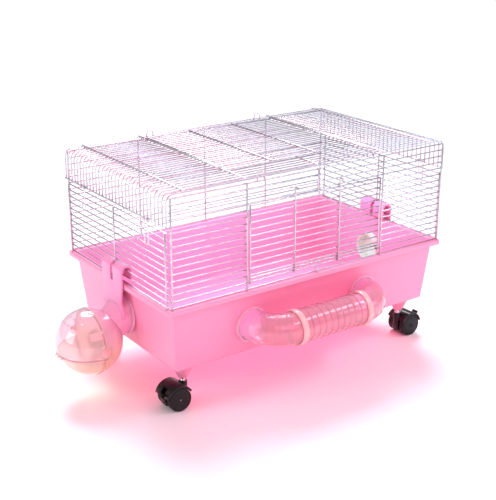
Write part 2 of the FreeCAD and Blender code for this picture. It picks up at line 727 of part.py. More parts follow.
def build_hanger(side, label, hole):
    """A forked plate outside the wall, hung over the rim by two prongs that reach in between the wires."""
    inner = "dims.hanger_plate_offset"
    outer = "(dims.hanger_plate_offset + dims.hanger_thickness)"
    top = "(dims.hanger_prong_level + dims.hanger_prong_thickness)"
    plate_top = "dims.rim_level"
    plate = padded_body(label + "_plate", "YZ_Plane", [
        ("-dims.hanger_half_width", "dims.hanger_foot"),
        ("dims.hanger_half_width", "dims.hanger_foot"),
        ("dims.hanger_half_width", "dims.hanger_ring_top"),
        ("dims.hanger_strap_half_width", "dims.hanger_strap_end"),
        ("dims.hanger_top_half_width", plate_top),
        ("-dims.hanger_top_half_width", plate_top),
        ("-dims.hanger_strap_half_width", "dims.hanger_strap_end"),
        ("-dims.hanger_half_width", "dims.hanger_ring_top"),
    ], "dims.hanger_thickness", offset=inner if side > 0 else f"-{outer}")
    reach = "dims.hanger_prong_reach"
    bevel, inner_bevel = "dims.hanger_bevel", "dims.hanger_inner_bevel"
    hook = padded_body(label + "_hook", "XZ_Plane", [
        (f"{side} * {outer}", f"{plate_top} - 1"),
        (f"{side} * {outer}", f"{top} - {bevel}"),
        (f"{side} * ({outer} - {bevel})", top),
        (f"{side} * ({reach} - dims.hanger_thickness + {bevel})", top),
        (f"{side} * ({reach} - dims.hanger_thickness)", f"{top} - {bevel}"),
        (f"{side} * ({reach} - dims.hanger_thickness)", "dims.hanger_prong_tip"),
        (f"{side} * {reach}", "dims.hanger_prong_tip"),
        (f"{side} * {reach}", f"dims.hanger_prong_level - {inner_bevel}"),
        (f"{side} * ({reach} + {inner_bevel})", "dims.hanger_prong_level"),
        (f"{side} * ({inner} - {inner_bevel})", "dims.hanger_prong_level"),
        (f"{side} * {inner}", f"dims.hanger_prong_level - {inner_bevel}"),
        (f"{side} * {inner}", f"{plate_top} - 1"),
    ], "2 * dims.hanger_top_half_width", both_ways=True)
    slot_corner = (f"{side} * dims.end_panel_offset - dims.hanger_half_width", "-dims.hanger_slot_half_width",
                   "dims.hanger_prong_tip - dims.hanger_prong_thickness")
    slot = box(label + "_slot", slot_corner, "2 * dims.hanger_half_width", "2 * dims.hanger_slot_half_width",
               "2 * dims.hanger_half_width")
    return finish(cut(label + "_cut", fuse(label + "_solids", [plate, hook]), [slot, *hole]), label)


def ball_box(name, low_x, high_x, low_z, high_z):
    """A box about the ball, as wide as the whole ball, between four distances from its centre."""
    corner = (f"dims.ball_x + {low_x}", "-1.5 * dims.visor_radius", f"dims.ball_z + {low_z}")
    return box(name, corner, f"{high_x} - ({low_x})", "3 * dims.visor_radius", f"{high_z} - ({low_z})")


PIVOT_HOLE_START = "dims.ball_radius - 4 * dims.ball_wall"
PIVOT_HOLE_LENGTH = "8 * dims.ball_wall"
VENT_COLUMNS = range(4)
VENT_ROWS = range(2)


def pivot_bar(name, radius, start, length):
    """A bar through both sides of the ball along its cross axis, from start to start plus length."""
    front_start = ("dims.ball_x", f"-({start}) - ({length})", "dims.ball_z")
    left = cylinder(name + "_front", "y", front_start, length, radius)
    right = cylinder(name + "_back", "y", ("dims.ball_x", start, "dims.ball_z"), length, radius)
    return [left, right]


def build_neck():
    """The flared passage from the ball to the wall: a cone, a round flange, and a sleeve through the port."""
    front = f"-{NECK_TRIM_REACH}"
    flare = cut("neck_flare", neck_cone("neck_outer", "0"),
                [ball_box("neck_front", front, "0", front, NECK_TRIM_REACH), tray_outer("flare_trim")])
    port_length = "2 * dims.neck_flange_thickness + dims.neck_sleeve_reach"
    sleeve = neck_port_bar("neck_sleeve", "dims.neck_radius", port_length)
    flange_disc = neck_port_bar("neck_flange_disc", "dims.neck_flange_radius", port_length)
    flange = cut("neck_flange", flange_disc, [tray_outer("flange_trim")])
    wall_side = box("flare_room_trim", ("dims.neck_port_x - dims.neck_flange_thickness",
                                        "-2 * dims.neck_flange_radius", "0"),
                    "2 * dims.neck_length", "4 * dims.neck_flange_radius", "dims.rim_level")
    flare_room = cut("neck_flare_room", neck_cone("neck_flare_inside", "-dims.neck_wall"), [wall_side])
    front = X_AXIS * -1
    tools = [sphere("neck_ball_room", BALL_CENTRE, "dims.ball_radius - dims.ball_wall", front), flare_room,
             neck_port_bar("neck_room", "dims.neck_radius - dims.neck_wall", "2 * dims.neck_length"),
             tray_inner("neck_trim")]
    finish(cut("ball_neck_cut", fuse("ball_neck_solids", [flare, sleeve, flange]), tools), "ball_neck")


def build_ball():
    """Rear shell round the neck, the bowl in front of it, and a visor that turns down outside the bowl."""
    wide = NECK_TRIM_REACH
    front = X_AXIS * -1
    outer = sphere("rear_outer", BALL_CENTRE, "dims.ball_radius", front)
    rear_half = common("rear_half", outer, ball_box("rear_side", "0", wide, f"-{wide}", wide))
    tools = [sphere("rear_room", BALL_CENTRE, "dims.ball_radius - dims.ball_wall", front),
             neck_cone("rear_neck_hole", "dims.running_clearance"),
             *pivot_bar("rear_pivot_hole", "dims.pivot_radius", PIVOT_HOLE_START, PIVOT_HOLE_LENGTH)]
    finish(cut("ball_rear_cut", rear_half, tools), "ball_rear_shell")

    bowl_outer = sphere("bowl_outer", BALL_CENTRE, "dims.ball_radius")
    bowl_side = ball_box("bowl_side", f"-{wide}", "0", f"-{wide}", "-dims.split_drop")
    quarter = common("bowl_quarter", bowl_outer, bowl_side)
    bowl_tools = [sphere("bowl_room", BALL_CENTRE, "dims.ball_radius - dims.ball_wall"),
                  *pivot_bar("bowl_pivot_hole", "dims.pivot_radius", PIVOT_HOLE_START, PIVOT_HOLE_LENGTH)]
    finish(cut("ball_bowl_cut", quarter, bowl_tools), "ball_bowl")

    visor_outer = sphere("visor_outer", BALL_CENTRE, "dims.visor_radius")
    visor_side = ball_box("visor_side", f"-{wide}", "dims.visor_overlap",
                          "-dims.split_drop - dims.visor_overlap", wide)
    visor_quarter = common("visor_quarter", visor_outer, visor_side)
    ears = pivot_bar("visor_ear", "dims.visor_ear_radius", "dims.visor_ear_start", "dims.visor_ear_thickness")
    ear_room = pivot_bar("visor_pivot_hole", "dims.pivot_radius + dims.pivot_clearance", PIVOT_HOLE_START,
                         PIVOT_HOLE_LENGTH)
    visor_tools = [sphere("visor_room", BALL_CENTRE, "dims.visor_radius - dims.visor_wall"), *ear_room]
    for column in VENT_COLUMNS:
        for row in VENT_ROWS:
            swing = FreeCAD.Rotation(Y_AXIS, -value(f"dims.vent_tilt + {row} * dims.vent_row_angle"))
            lean = FreeCAD.Rotation(X_AXIS, value(f"{column - 1.5} * dims.vent_column_angle"))
            visor_tools.append(cylinder(f"vent_{column}{row}", swing.multiply(lean), BALL_CENTRE,
                                        "1.2 * dims.visor_radius", "dims.vent_radius"))
    visor = cut("ball_visor_cut", fuse("ball_visor_solids", [visor_quarter, *ears]), visor_tools)
    finish(visor, "ball_visor")

    shanks = pivot_bar("pivot_shank", "dims.pivot_radius", "dims.pivot_inner_end",
                       "dims.pivot_head_start + dims.pivot_head_thickness / 2 - dims.pivot_inner_end")
    heads = pivot_bar("pivot_head", "dims.pivot_head_radius", "dims.pivot_head_start",
                      "dims.pivot_head_thickness")
    pins = [fuse(f"pivot_pin_{index}", [shanks[index], heads[index]]) for index in range(2)]
    finish(compound("pivot_pins", pins), "ball_pivot_pins")


# ---------------------------------------------------------------------------------------- front tube

TUBE_LINE = "dims.elbow_start - dims.elbow_radius"
TUBE_END = "(dims.port_x - dims.elbow_radius)"


def elbow_torus(name, side, radius):
    """A quarter turn from the port, out and round towards the middle."""
    turn = FreeCAD.Rotation(Z_AXIS, -90 if side > 0 else 180)
    centre = (f"dims.tube_centre + {side} * {TUBE_END}", "dims.elbow_start", "dims.tube_z")
    return torus(name, centre, "dims.elbow_radius", radius, sweep=90, rotation=turn)


def build_elbow(side, label):
    inner = "dims.tube_radius - dims.tube_wall"
    stub = "dims.stub_end - dims.elbow_start"
    solids = [elbow_torus(label + "_bend", side, "dims.tube_radius"),
              port_bar(label + "_stub", side, "dims.tube_radius", "dims.elbow_start", stub)]
    rooms = [elbow_torus(label + "_bend_room", side, inner),
             port_bar(label + "_stub_room", side, inner, "dims.elbow_start", stub)]
    finish(cut(label + "_cut", fuse(label + "_solids", solids), rooms), label)


RING_BORE = "dims.tube_radius + dims.ring_clearance"


def tube_ring(name, centre_x):
    """The joining ring over one end of the straight tube, centred where the elbow meets it."""
    where = (f"{centre_x} - dims.ring_half_width", TUBE_LINE, "dims.tube_z")
    solid = cylinder(name + "_outer", "x", where, "2 * dims.ring_half_width", "dims.ring_radius")
    room = cylinder(name + "_room", "x", where, "2 * dims.ring_half_width", RING_BORE)
    return cut(name, solid, [room])


def build_tube():
    build_elbow(-1, "elbow_left")
    build_elbow(1, "elbow_right")
    inner = "dims.tube_radius - dims.tube_wall"
    start = (f"dims.tube_centre - {TUBE_END}", TUBE_LINE, "dims.tube_z")
    wall = cylinder("tube_wall_bar", "x", start, f"2 * {TUBE_END}", "dims.tube_radius")
    ribs = []
    count = int(value("dims.rib_count"))
    for index in range(count):
        share = (index + 1) / (count + 1) * 2 - 1
        where = (f"dims.tube_centre + {share:.4f} * ({TUBE_END} - dims.ring_half_width)", TUBE_LINE,
                 "dims.tube_z")
        ribs.append(torus(f"tube_rib_{index}", where, "dims.tube_radius", "dims.rib_radius",
                          rotation=ALONG["x"]))
    room = cylinder("tube_room", "x", start, f"2 * {TUBE_END}", inner)
    finish(cut("tube_cut", fuse("tube_solids", [wall, *ribs]), [room]), "tube_straight")
    for side, name in ((-1, "left"), (1, "right")):
        finish(tube_ring(f"ring_{name}_cut", f"dims.tube_centre + {side} * {TUBE_END}"), f"tube_ring_{name}")
        disc = port_bar(f"collar_{name}_disc", side, "dims.collar_radius", "dims.collar_front",
                        "dims.collar_depth")
        room = port_bar(f"collar_{name}_room", side, RING_BORE, "dims.collar_front", "dims.collar_depth")
        finish(cut(f"collar_{name}_cut", disc, [room, tray_outer(f"collar_{name}_wall")]),
               f"wall_collar_{name}")


def build_port_cap():
    """A domed cover on the right port: a flange against the wall, a spigot in the hole, and a thin dome."""
    start = ("dims.cap_inner_end", "0", "dims.cap_z")
    length = "dims.cap_face - dims.cap_inner_end"
    disc = cylinder("cap_disc", "x", start, length, "dims.cap_flange_radius")
    flange = cut("cap_flange", disc, [tray_outer("cap_wall_trim")])
    spigot = cylinder("cap_spigot", "x", start, length, "dims.cap_spigot_radius")
    dome_centre = ("dims.cap_dome_centre", "0", "dims.cap_z")
    reach = "dims.cap_dome_radius"
    dome_corner = ("dims.cap_face - dims.cap_wall / 2", f"-{reach}", f"dims.cap_z - {reach}")
    dome_side = box("cap_dome_side", dome_corner, reach, f"2 * {reach}", f"2 * {reach}")
    dome = common("cap_dome", sphere("cap_dome_ball", dome_centre, "dims.cap_dome_radius"), dome_side)
    tools = [sphere("cap_dome_room", dome_centre, "dims.cap_dome_radius - dims.cap_wall"),
             cylinder("cap_room", "x", start, "dims.cap_face - dims.cap_inner_end",
                      "dims.cap_spigot_radius - dims.cap_wall")]
    finish(cut("cap_cut", fuse("cap_solids", [flange, spigot, dome]), tools), "port_cap")


# -------------------------------------------------------------------------------------------- casters

def caster_part(item, corner, part):
    """Puts a caster's piece, drawn about its own stem, under one corner; left ones face the other way."""
    name, x_side, y_side = corner
    return finish(item, f"caster_{name}_{part}", f"{x_side} * dims.caster_x", f"{y_side} * dims.caster_y",
                  FreeCAD.Rotation(Z_AXIS, 0 if x_side > 0 else 180))


AXLE = ("dims.caster_trail", "dims.wheel_radius")
FENDER_START = 14
FENDER_END = 150


def cross_bar(name, start, length, radius, spot=AXLE):
    return cylinder(name, "y", (spot[0], start, spot[1]), length, radius)


def fender_pie(name, radius, half_width, start_angle, end_angle):
    """A slice of a bar about the axle, between two angles measured up from the trailing side."""
    item = cross_bar(name, f"-({half_width})", f"2 * ({half_width})", radius)
    item.Angle = end_angle - start_angle
    item.Placement = FreeCAD.Placement(FreeCAD.Vector(), FreeCAD.Rotation(
        FreeCAD.Vector(math.cos(math.radians(end_angle)), 0, math.sin(math.radians(end_angle))),
        FreeCAD.Vector(), Y_AXIS, "ZXY"))
    return item


def build_caster(corner):
    name = f"caster_{corner[0]}"
    full = "dims.fender_half_width"
    brake_spot = (f"({AXLE[0]} + dims.brake_pivot_x)", f"({AXLE[1]} + dims.brake_pivot_z)")

    web_disc = cross_bar(name + "_web_disc", "-dims.web_half_width", "2 * dims.web_half_width",
                         "dims.fender_inner_radius + dims.web_overlap")
    web_floor = box(name + "_web_floor", ("-dims.wheel_radius", "-dims.wheel_radius", "-dims.wheel_radius"),
                    "4 * dims.wheel_radius", "2 * dims.wheel_radius", "dims.wheel_radius + dims.web_bottom")
    web = cut(name + "_web", web_disc, [web_floor])
    fender_bar = fender_pie(name + "_fender_bar", "dims.fender_outer_radius", full, FENDER_START, FENDER_END)
    fender_room = cross_bar(name + "_fender_room", f"-{full}", f"2 * {full}", "dims.fender_inner_radius")
    fender = cut(name + "_fender", fender_bar, [fender_room])
    socket = cylinder(name + "_socket", "z", ("0", "0", "dims.socket_bottom"),
                      "dims.socket_top - dims.socket_bottom", "dims.socket_radius")
    notch_corner = (f"{AXLE[0]} + dims.brake_notch_start", "-dims.brake_half_width - dims.brake_notch_gap",
                    f"{AXLE[1]} + dims.brake_notch_level")
    notch = box(name + "_notch", notch_corner, "dims.fender_outer_radius",
                "2 * (dims.brake_half_width + dims.brake_notch_gap)", "dims.brake_notch_height")
    tools = [notch,
             cross_bar(name + "_axle_bore", f"-{full}", f"2 * {full}",
                       "dims.axle_radius + dims.running_clearance"),
             cross_bar(name + "_brake_bore", f"-{full}", f"2 * {full}",
                       "dims.brake_pin_radius + dims.running_clearance", brake_spot),
             cylinder(name + "_stem_bore", "z", ("0", "0", "dims.stem_bottom"),
                      "dims.stem_top - dims.stem_bottom", "dims.stem_radius")]
    housing = cut(name + "_housing_cut", fuse(name + "_housing_solids", [web, fender, socket]), tools)
    caster_part(housing, corner, "housing")

    stem_rod = cylinder(name + "_stem_rod", "z", ("0", "0", "dims.stem_bottom"),
                        "dims.stem_top - dims.stem_bottom", "dims.stem_radius")
    washer = cylinder(name + "_stem_washer", "z", ("0", "0", "dims.socket_top"), "dims.washer_thickness",
                      "dims.washer_radius")
    caster_part(fuse(name + "_stem_solid", [stem_rod, washer]), corner, "stem")

    axle_half = "(dims.wheel_inner_face + dims.wheel_width - dims.axle_inset)"
    axle = cross_bar(name + "_axle_bar", f"-{axle_half}", f"2 * {axle_half}", "dims.axle_radius")
    caster_part(compound(name + "_axle_shape", [axle]), corner, "axle")

    for side, part in ((-1, "wheel_front"), (1, "wheel_back")):
        near = "dims.wheel_inner_face"
        far = "(dims.wheel_inner_face + dims.wheel_width)"
        bevel = "dims.wheel_bevel"
        profile = [("dims.axle_radius", near), (f"dims.wheel_radius - {bevel}", near),
                   ("dims.wheel_radius", f"{near} + {bevel}"), ("dims.wheel_radius", f"{far} - {bevel}"),
                   (f"dims.wheel_radius - {bevel}", far), (f"dims.hub_radius + 2 * {bevel}", far),
                   ("dims.hub_radius", f"{far} - {bevel}"), ("dims.axle_cap_radius", f"{far} - {bevel}"),
                   (f"dims.axle_cap_radius - {bevel} / 2", far), ("dims.axle_radius", far)]
        points = [(radius, f"{side} * ({reach})") for radius, reach in profile]
        wheel = turned_body(f"{name}_{part}_body", "XY_Plane", points, "V_Axis")
        place(wheel, (AXLE[0], "0", AXLE[1]))
        caster_part(compound(f"{name}_{part}_shape", [wheel]), corner, part)

    half = "dims.brake_half_width"
    hub = "dims.lever_hub_radius"
    lever_bar = cross_bar(name + "_lever_hub", f"-{half}", f"2 * {half}", hub, brake_spot)
    reach, tip_high = f"{brake_spot[0]} + dims.lever_reach", f"{brake_spot[1]} + dims.lever_tip_high"
    tab = padded_body(name + "_lever_tab", "XZ_Plane", [
        (brake_spot[0], f"{brake_spot[1]} - {hub}"),
        (f"{brake_spot[0]} + {hub}", f"{brake_spot[1]} - {hub} / 2"),
        (reach, f"{brake_spot[1]} + dims.lever_tip_low"),
        (reach, tip_high),
        (f"{reach} - dims.lever_tip_thickness", tip_high),
        (brake_spot[0], f"{brake_spot[1]} + {hub}"),
    ], f"2 * {half}", both_ways=True)
    pin = cross_bar(name + "_lever_pin", f"-{half} - dims.brake_pin_reach",
                    f"2 * ({half} + dims.brake_pin_reach)", "dims.brake_pin_radius", brake_spot)
    caster_part(fuse(name + "_lever_solid", [lever_bar, tab, pin]), corner, "brake_lever")


# ------------------------------------------------------------------------------------------- assembly

build_tray()
build_front_panel()
build_back_panel()
build_end_panel(-1, "left_end_panel")
build_end_panel(1, "right_end_panel")
build_roof()
build_front_door()
build_top_door()
build_latches()
build_hanger(-1, "hanger_left", [neck_cone("hanger_left_hole", "dims.hole_clearance"),
                                 sphere("hanger_left_clear", BALL_CENTRE,
                                        "dims.visor_radius + 2 * dims.hole_clearance")])
build_hanger(1, "hanger_right", [cylinder("hanger_right_hole", "x", ("dims.cap_face", "0", "dims.cap_z"),
                                          PORT_DEPTH, "dims.cap_flange_radius + dims.hole_clearance")])
build_neck()
build_ball()
build_tube()
build_port_cap()
for caster_corner in (("front_left", -1, -1), ("front_right", 1, -1), ("back_left", -1, 1),
                      ("back_right", 1, 1)):
    build_caster(caster_corner)

document.recompute()
for item in document.Objects:
    if "Invalid" in item.State or "Error" in item.State:
        raise RuntimeError(f"{item.Label} did not build: {item.State}")
os.makedirs("parts", exist_ok=True)
whole = FreeCAD.BoundBox()
for item in subparts:
    if item.Shape.isNull() or not item.Shape.isValid():
        raise RuntimeError(f"{item.Label} has no valid shape")
    item.Shape.exportStep(f"parts/{item.Label}.step")
    whole.add(item.Shape.optimalBoundingBox(False, False))
    print(f"{item.Label}: {len(item.Shape.Solids)} solids, {item.Shape.Volume:.1f} mm3")
print("box", whole)
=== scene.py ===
"""A hamster cage in pink moulded plastic and plated wire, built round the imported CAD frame. Metres, +Z up."""

import math

import bmesh
import bpy
from mathutils import Matrix, Quaternion, Vector


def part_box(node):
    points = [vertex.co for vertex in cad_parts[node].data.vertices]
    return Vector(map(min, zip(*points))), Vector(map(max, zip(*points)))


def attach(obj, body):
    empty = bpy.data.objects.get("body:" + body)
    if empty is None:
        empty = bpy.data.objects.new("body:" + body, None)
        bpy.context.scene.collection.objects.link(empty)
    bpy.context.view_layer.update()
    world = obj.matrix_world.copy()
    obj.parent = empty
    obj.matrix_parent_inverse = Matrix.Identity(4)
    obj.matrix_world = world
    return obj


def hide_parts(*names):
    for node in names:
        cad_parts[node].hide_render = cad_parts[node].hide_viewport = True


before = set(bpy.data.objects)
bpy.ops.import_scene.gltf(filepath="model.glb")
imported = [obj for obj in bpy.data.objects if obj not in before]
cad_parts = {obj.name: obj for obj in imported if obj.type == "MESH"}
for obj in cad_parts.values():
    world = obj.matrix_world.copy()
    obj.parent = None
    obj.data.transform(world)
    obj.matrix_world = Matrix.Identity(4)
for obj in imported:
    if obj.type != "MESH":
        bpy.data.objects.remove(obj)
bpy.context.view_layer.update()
MM = 0.001
X, Y, Z = Vector((1, 0, 0)), Vector((0, 1, 0)), Vector((0, 0, 1))

# ------------------------------------------------------------------------------------ places from the frame


def corners(node):
    """The low and the high corner of a CAD node's box."""
    low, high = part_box(node)
    return Vector(low), Vector(high)


TRAY_LOW, TRAY_HIGH = corners("tray")
CENTRE = (TRAY_LOW + TRAY_HIGH) / 2


def at(x, y, z):
    """A point given in millimetres from the tray's middle line and the floor."""
    return Vector((CENTRE.x + x * MM, CENTRE.y + y * MM, z * MM))


# ------------------------------------------------------------------------------------------- materials


def new_material(name, colour, roughness, metallic=0.0):
    """A principled material with its node tree, and a few sockets set directly."""
    material = bpy.data.materials.new(name)
    material.use_nodes = True
    shader = material.node_tree.nodes["Principled BSDF"]
    shader.inputs["Base Color"].default_value = (*colour, 1)
    shader.inputs["Roughness"].default_value = roughness
    shader.inputs["Metallic"].default_value = metallic
    return material, material.node_tree, shader


def noise(tree, scale, detail=3.0, stretch=(1, 1, 1)):
    """A noise texture in object space, measured in waves per metre."""
    coordinates = tree.nodes.new("ShaderNodeTexCoord")
    mapping = tree.nodes.new("ShaderNodeMapping")
    mapping.inputs["Scale"].default_value = stretch
    texture = tree.nodes.new("ShaderNodeTexNoise")
    texture.inputs["Scale"].default_value = scale
    texture.inputs["Detail"].default_value = detail
    tree.links.new(coordinates.outputs["Object"], mapping.inputs["Vector"])
    tree.links.new(mapping.outputs["Vector"], texture.inputs["Vector"])
    return texture.outputs["Fac"]


def ramp(tree, source, low, high, low_colour, high_colour):
    """Turns a number into a colour between two stops."""
    node = tree.nodes.new("ShaderNodeValToRGB")
    first, last = node.color_ramp.elements
    first.position, last.position = low, high
    first.color, last.color = (*low_colour, 1), (*high_colour, 1)
    tree.links.new(source, node.inputs["Fac"])
    return node.outputs["Color"]


def spread(tree, source, low, high):
    """Maps a 0 to 1 number onto a range."""
    node = tree.nodes.new("ShaderNodeMapRange")
    node.inputs["To Min"].default_value = low
    node.inputs["To Max"].default_value = high
    tree.links.new(source, node.inputs["Value"])
    return node.outputs["Result"]


def bump(tree, shader, height, strength, distance):
    """Lets a number raise the surface, in the shading only."""
    node = tree.nodes.new("ShaderNodeBump")
    node.inputs["Strength"].default_value = strength
    node.inputs["Distance"].default_value = distance
    tree.links.new(height, node.inputs["Height"])
    tree.links.new(node.outputs["Normal"], shader.inputs["Normal"])


def scaled(colour, factor):
    """A colour made lighter or darker, no lighter than white."""
    return tuple(min(1.0, channel * factor) for channel in colour)


def moulded_plastic(name, colour, roughness, glow=0.0):
    """Opaque injection-moulded plastic: a fine spark-eroded grain, faint flow marks and rubbed patches."""
    material, tree, shader = new_material(name, colour, roughness)
    flow = noise(tree, 5, 2)
    tint = ramp(tree, flow, 0.3, 0.7, scaled(colour, 0.955), scaled(colour, 1.03))
    tree.links.new(tint, shader.inputs["Base Color"])
    tree.links.new(spread(tree, noise(tree, 22, 4), roughness - 0.06, roughness + 0.07),
                   shader.inputs["Roughness"])
    bump(tree, shader, noise(tree, 1400, 2), 0.10, 0.0003)
    shader.inputs["Subsurface Weight"].default_value = glow
    shader.inputs["Subsurface Radius"].default_value = (0.012, 0.005, 0.007)
    shader.inputs["Subsurface Scale"].default_value = 1.0
    shader.inputs["Coat Weight"].default_value = 0.12
    shader.inputs["Coat Roughness"].default_value = 0.2
    return material


def gradient(tree, axis, low, high, low_colour, high_colour):
    """A colour that changes along one axis of the object, between two places in metres."""
    coordinates = tree.nodes.new("ShaderNodeTexCoord")
    split = tree.nodes.new("ShaderNodeSeparateXYZ")
    tree.links.new(coordinates.outputs["Object"], split.inputs["Vector"])
    share = tree.nodes.new("ShaderNodeMapRange")
    share.inputs["From Min"].default_value = low
    share.inputs["From Max"].default_value = high
    tree.links.new(split.outputs[axis], share.inputs["Value"])
    return ramp(tree, share.outputs["Result"], 0.0, 1.0, low_colour, high_colour)


def clear_plastic(name, colour, roughness=0.06, transmission=0.9, waviness=0.12, fade=None):
    """Tinted see-through polystyrene: slightly wavy from the mould, with hair-fine scuffs."""
    material, tree, shader = new_material(name, colour, roughness)
    shader.inputs["Transmission Weight"].default_value = transmission
    shader.inputs["IOR"].default_value = 1.28
    shader.inputs["Coat Weight"].default_value = 0.8
    shader.inputs["Coat Roughness"].default_value = 0.05
    shader.inputs["Coat IOR"].default_value = 1.55
    tint = ramp(tree, noise(tree, 14, 2), 0.3, 0.75, colour, scaled(colour, 1.06))
    if fade:
        tint = gradient(tree, *fade)
    tree.links.new(tint, shader.inputs["Base Color"])
    tree.links.new(spread(tree, noise(tree, 60, 5), roughness * 0.5, roughness * 2.0),
                   shader.inputs["Roughness"])
    bump(tree, shader, noise(tree, 45, 2), waviness, 0.001)
    return material


def plated_wire(name, dark, light):
    """Bright zinc-plated wire: drawing marks along it, and a slightly uneven plate."""
    material, tree, shader = new_material(name, light, 0.24, 1.0)
    tint = ramp(tree, noise(tree, 130, 3), 0.3, 0.7, dark, light)
    tree.links.new(tint, shader.inputs["Base Color"])
    tree.links.new(spread(tree, noise(tree, 300, 3), 0.16, 0.32), shader.inputs["Roughness"])
    bump(tree, shader, noise(tree, 2200, 2), 0.08, 0.0002)
    return material


def black_plastic(name, roughness, grain):
    """Black nylon or rubber, with a grain given in waves per metre."""
    material, tree, shader = new_material(name, (0.004, 0.004, 0.005), roughness)
    tint = ramp(tree, noise(tree, 70, 4), 0.35, 0.75, (0.003, 0.003, 0.0035), (0.007, 0.007, 0.008))
    tree.links.new(tint, shader.inputs["Base Color"])
    tree.links.new(spread(tree, noise(tree, 160, 4), roughness - 0.06, roughness + 0.1),
                   shader.inputs["Roughness"])
    bump(tree, shader, noise(tree, grain, 3), 0.05, 0.0003)
    shader.inputs["Specular IOR Level"].default_value = 0.35
    return material


def chrome():
    """Polished plate with faint smears."""
    material, tree, shader = new_material("stem_chrome", (0.86, 0.86, 0.88), 0.1, 1.0)
    tint = ramp(tree, noise(tree, 240, 3), 0.3, 0.7, (0.74, 0.74, 0.77), (0.92, 0.92, 0.93))
    tree.links.new(tint, shader.inputs["Base Color"])
    tree.links.new(spread(tree, noise(tree, 500, 3), 0.06, 0.2), shader.inputs["Roughness"])
    return material


# -------------------------------------------------------------------------------------- mesh building


def finished_mesh(name, build, holes=None):
    """A mesh from a function that fills a bmesh, less the shape that a second function fills."""
    bm = bmesh.new()
    build(bm)
    bmesh.ops.recalc_face_normals(bm, faces=bm.faces)
    mesh = bpy.data.meshes.new(name)
    bm.to_mesh(mesh)
    bm.free()
    if holes is None:
        return mesh
    tool = bpy.data.objects.new(name + "_tool", finished_mesh(name + "_holes", holes))
    block = bpy.data.objects.new(name + "_block", mesh)
    for item in (block, tool):
        bpy.context.scene.collection.objects.link(item)
    modifier = block.modifiers.new("cut", "BOOLEAN")
    modifier.object = tool
    modifier.solver = "EXACT"
    result = bpy.data.meshes.new_from_object(block.evaluated_get(bpy.context.evaluated_depsgraph_get()))
    for item in (block, tool):
        bpy.data.objects.remove(item)
    return result


def mesh_piece(name, build, material, body, nodes=(), smooth_angle=35, holes=None):
    """A new piece, shaded smooth except at its corners, that rides on a body and stands for CAD nodes."""
    mesh = finished_mesh(name, build, holes)
    for polygon in mesh.polygons:
        polygon.use_smooth = True
    mesh.set_sharp_from_angle(angle=math.radians(smooth_angle))
    mesh.materials.clear()
    mesh.materials.append(material)
    piece = bpy.data.objects.new(name, mesh)
    bpy.context.scene.collection.objects.link(piece)
    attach(piece, body)
    if nodes:
        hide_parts(*nodes)
    return piece


def softened(name, node, material, body, width, segments=2):
    """A CAD node's own shape with its sharp edges rounded over."""
    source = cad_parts[node]

    def build(bm):
        bm.from_mesh(source.data)
        bm.transform(source.matrix_world)
        bmesh.ops.remove_doubles(bm, verts=bm.verts, dist=1e-6)
        bmesh.ops.dissolve_limit(bm, angle_limit=math.radians(1.0), verts=bm.verts, edges=bm.edges)
        sharp = [edge for edge in bm.edges if edge.is_manifold and edge.calc_face_angle() > math.radians(40)]
        bmesh.ops.bevel(bm, geom=sharp, offset=width, segments=segments, profile=0.5, affect="EDGES",
                        clamp_overlap=True)

    return mesh_piece(name, build, material, body, (node,))


def join_rings(bm, rings, closed=False, cap=True):
    """Skins a list of rings of points, all with the same count, and closes the ends with flat faces."""
    made = [[bm.verts.new(point) for point in ring] for ring in rings]
    count = len(made[0])
    pairs = list(zip(made, made[1:]))
    if closed:
        pairs.append((made[-1], made[0]))
    for first, second in pairs:
        for index in range(count):
            after = (index + 1) % count
            bm.faces.new((first[index], first[after], second[after], second[index]))
    if cap and not closed:
        bm.faces.new(list(reversed(made[0])))
        bm.faces.new(made[-1])
    return made


def circle_ring(centre, side, other, radius, count):
    """Points round a circle that lies along two square directions; all lengths in metres."""
    turns = [2 * math.pi * step / count for step in range(count)]
    return [centre + (side * math.cos(turn) + other * math.sin(turn)) * radius for turn in turns]


def directions(axis):
    """Two directions square to an axis."""
    side = axis.orthogonal().normalized()
    return side, axis.cross(side)


def lathe(bm, centre, axis, profile, count=48, closed=False):
    """Turns a profile of (radius, distance along the axis) in millimetres; closed joins its two ends."""
    side, other = directions(axis)
    rings = [circle_ring(centre + axis * along * MM, side, other, radius * MM, count)
             for radius, along in profile]
    join_rings(bm, rings, closed)


def wire(bm, points, radius, sides=10, closed=False):
    """A round wire of a radius in millimetres along a path, with slightly rounded ends."""
    radius *= MM
    tangents = []
    count = len(points)
    for index in range(count):
        before = points[(index - 1) % count] if closed or index else points[index]
        after = points[(index + 1) % count] if closed or index < count - 1 else points[index]
        tangents.append((after - before).normalized())
    side = tangents[0].orthogonal().normalized()
    rings = []
    for index, tangent in enumerate(tangents):
        if index:
            side = tangents[index - 1].rotation_difference(tangent) @ side
        side = (side - tangent * side.dot(tangent)).normalized()
        other = tangent.cross(side)
        here = points[index]
        if closed or 0 < index < count - 1:
            rings.append(circle_ring(here, side, other, radius, sides))
            continue
        inward = tangent if index == 0 else -tangent
        end = [circle_ring(here + inward * radius * depth, side, other, radius * share, sides)
               for depth, share in ((0.0, 0.55), (0.12, 0.85), (0.4, 1.0))]
        rings.extend(end if index == 0 else reversed(end))
    join_rings(bm, rings, closed)


def arc(centre, start, axis, degrees, steps):
    """Points from centre + start, turned about an axis."""
    return [centre + Quaternion(axis, math.radians(degrees * step / steps)) @ start
            for step in range(steps + 1)]


def nugget(bm, point, radius=0.75):
    """The small flat bulge of a spot weld."""
    bmesh.ops.create_icosphere(bm, subdivisions=1, radius=radius * MM, matrix=Matrix.Translation(point))


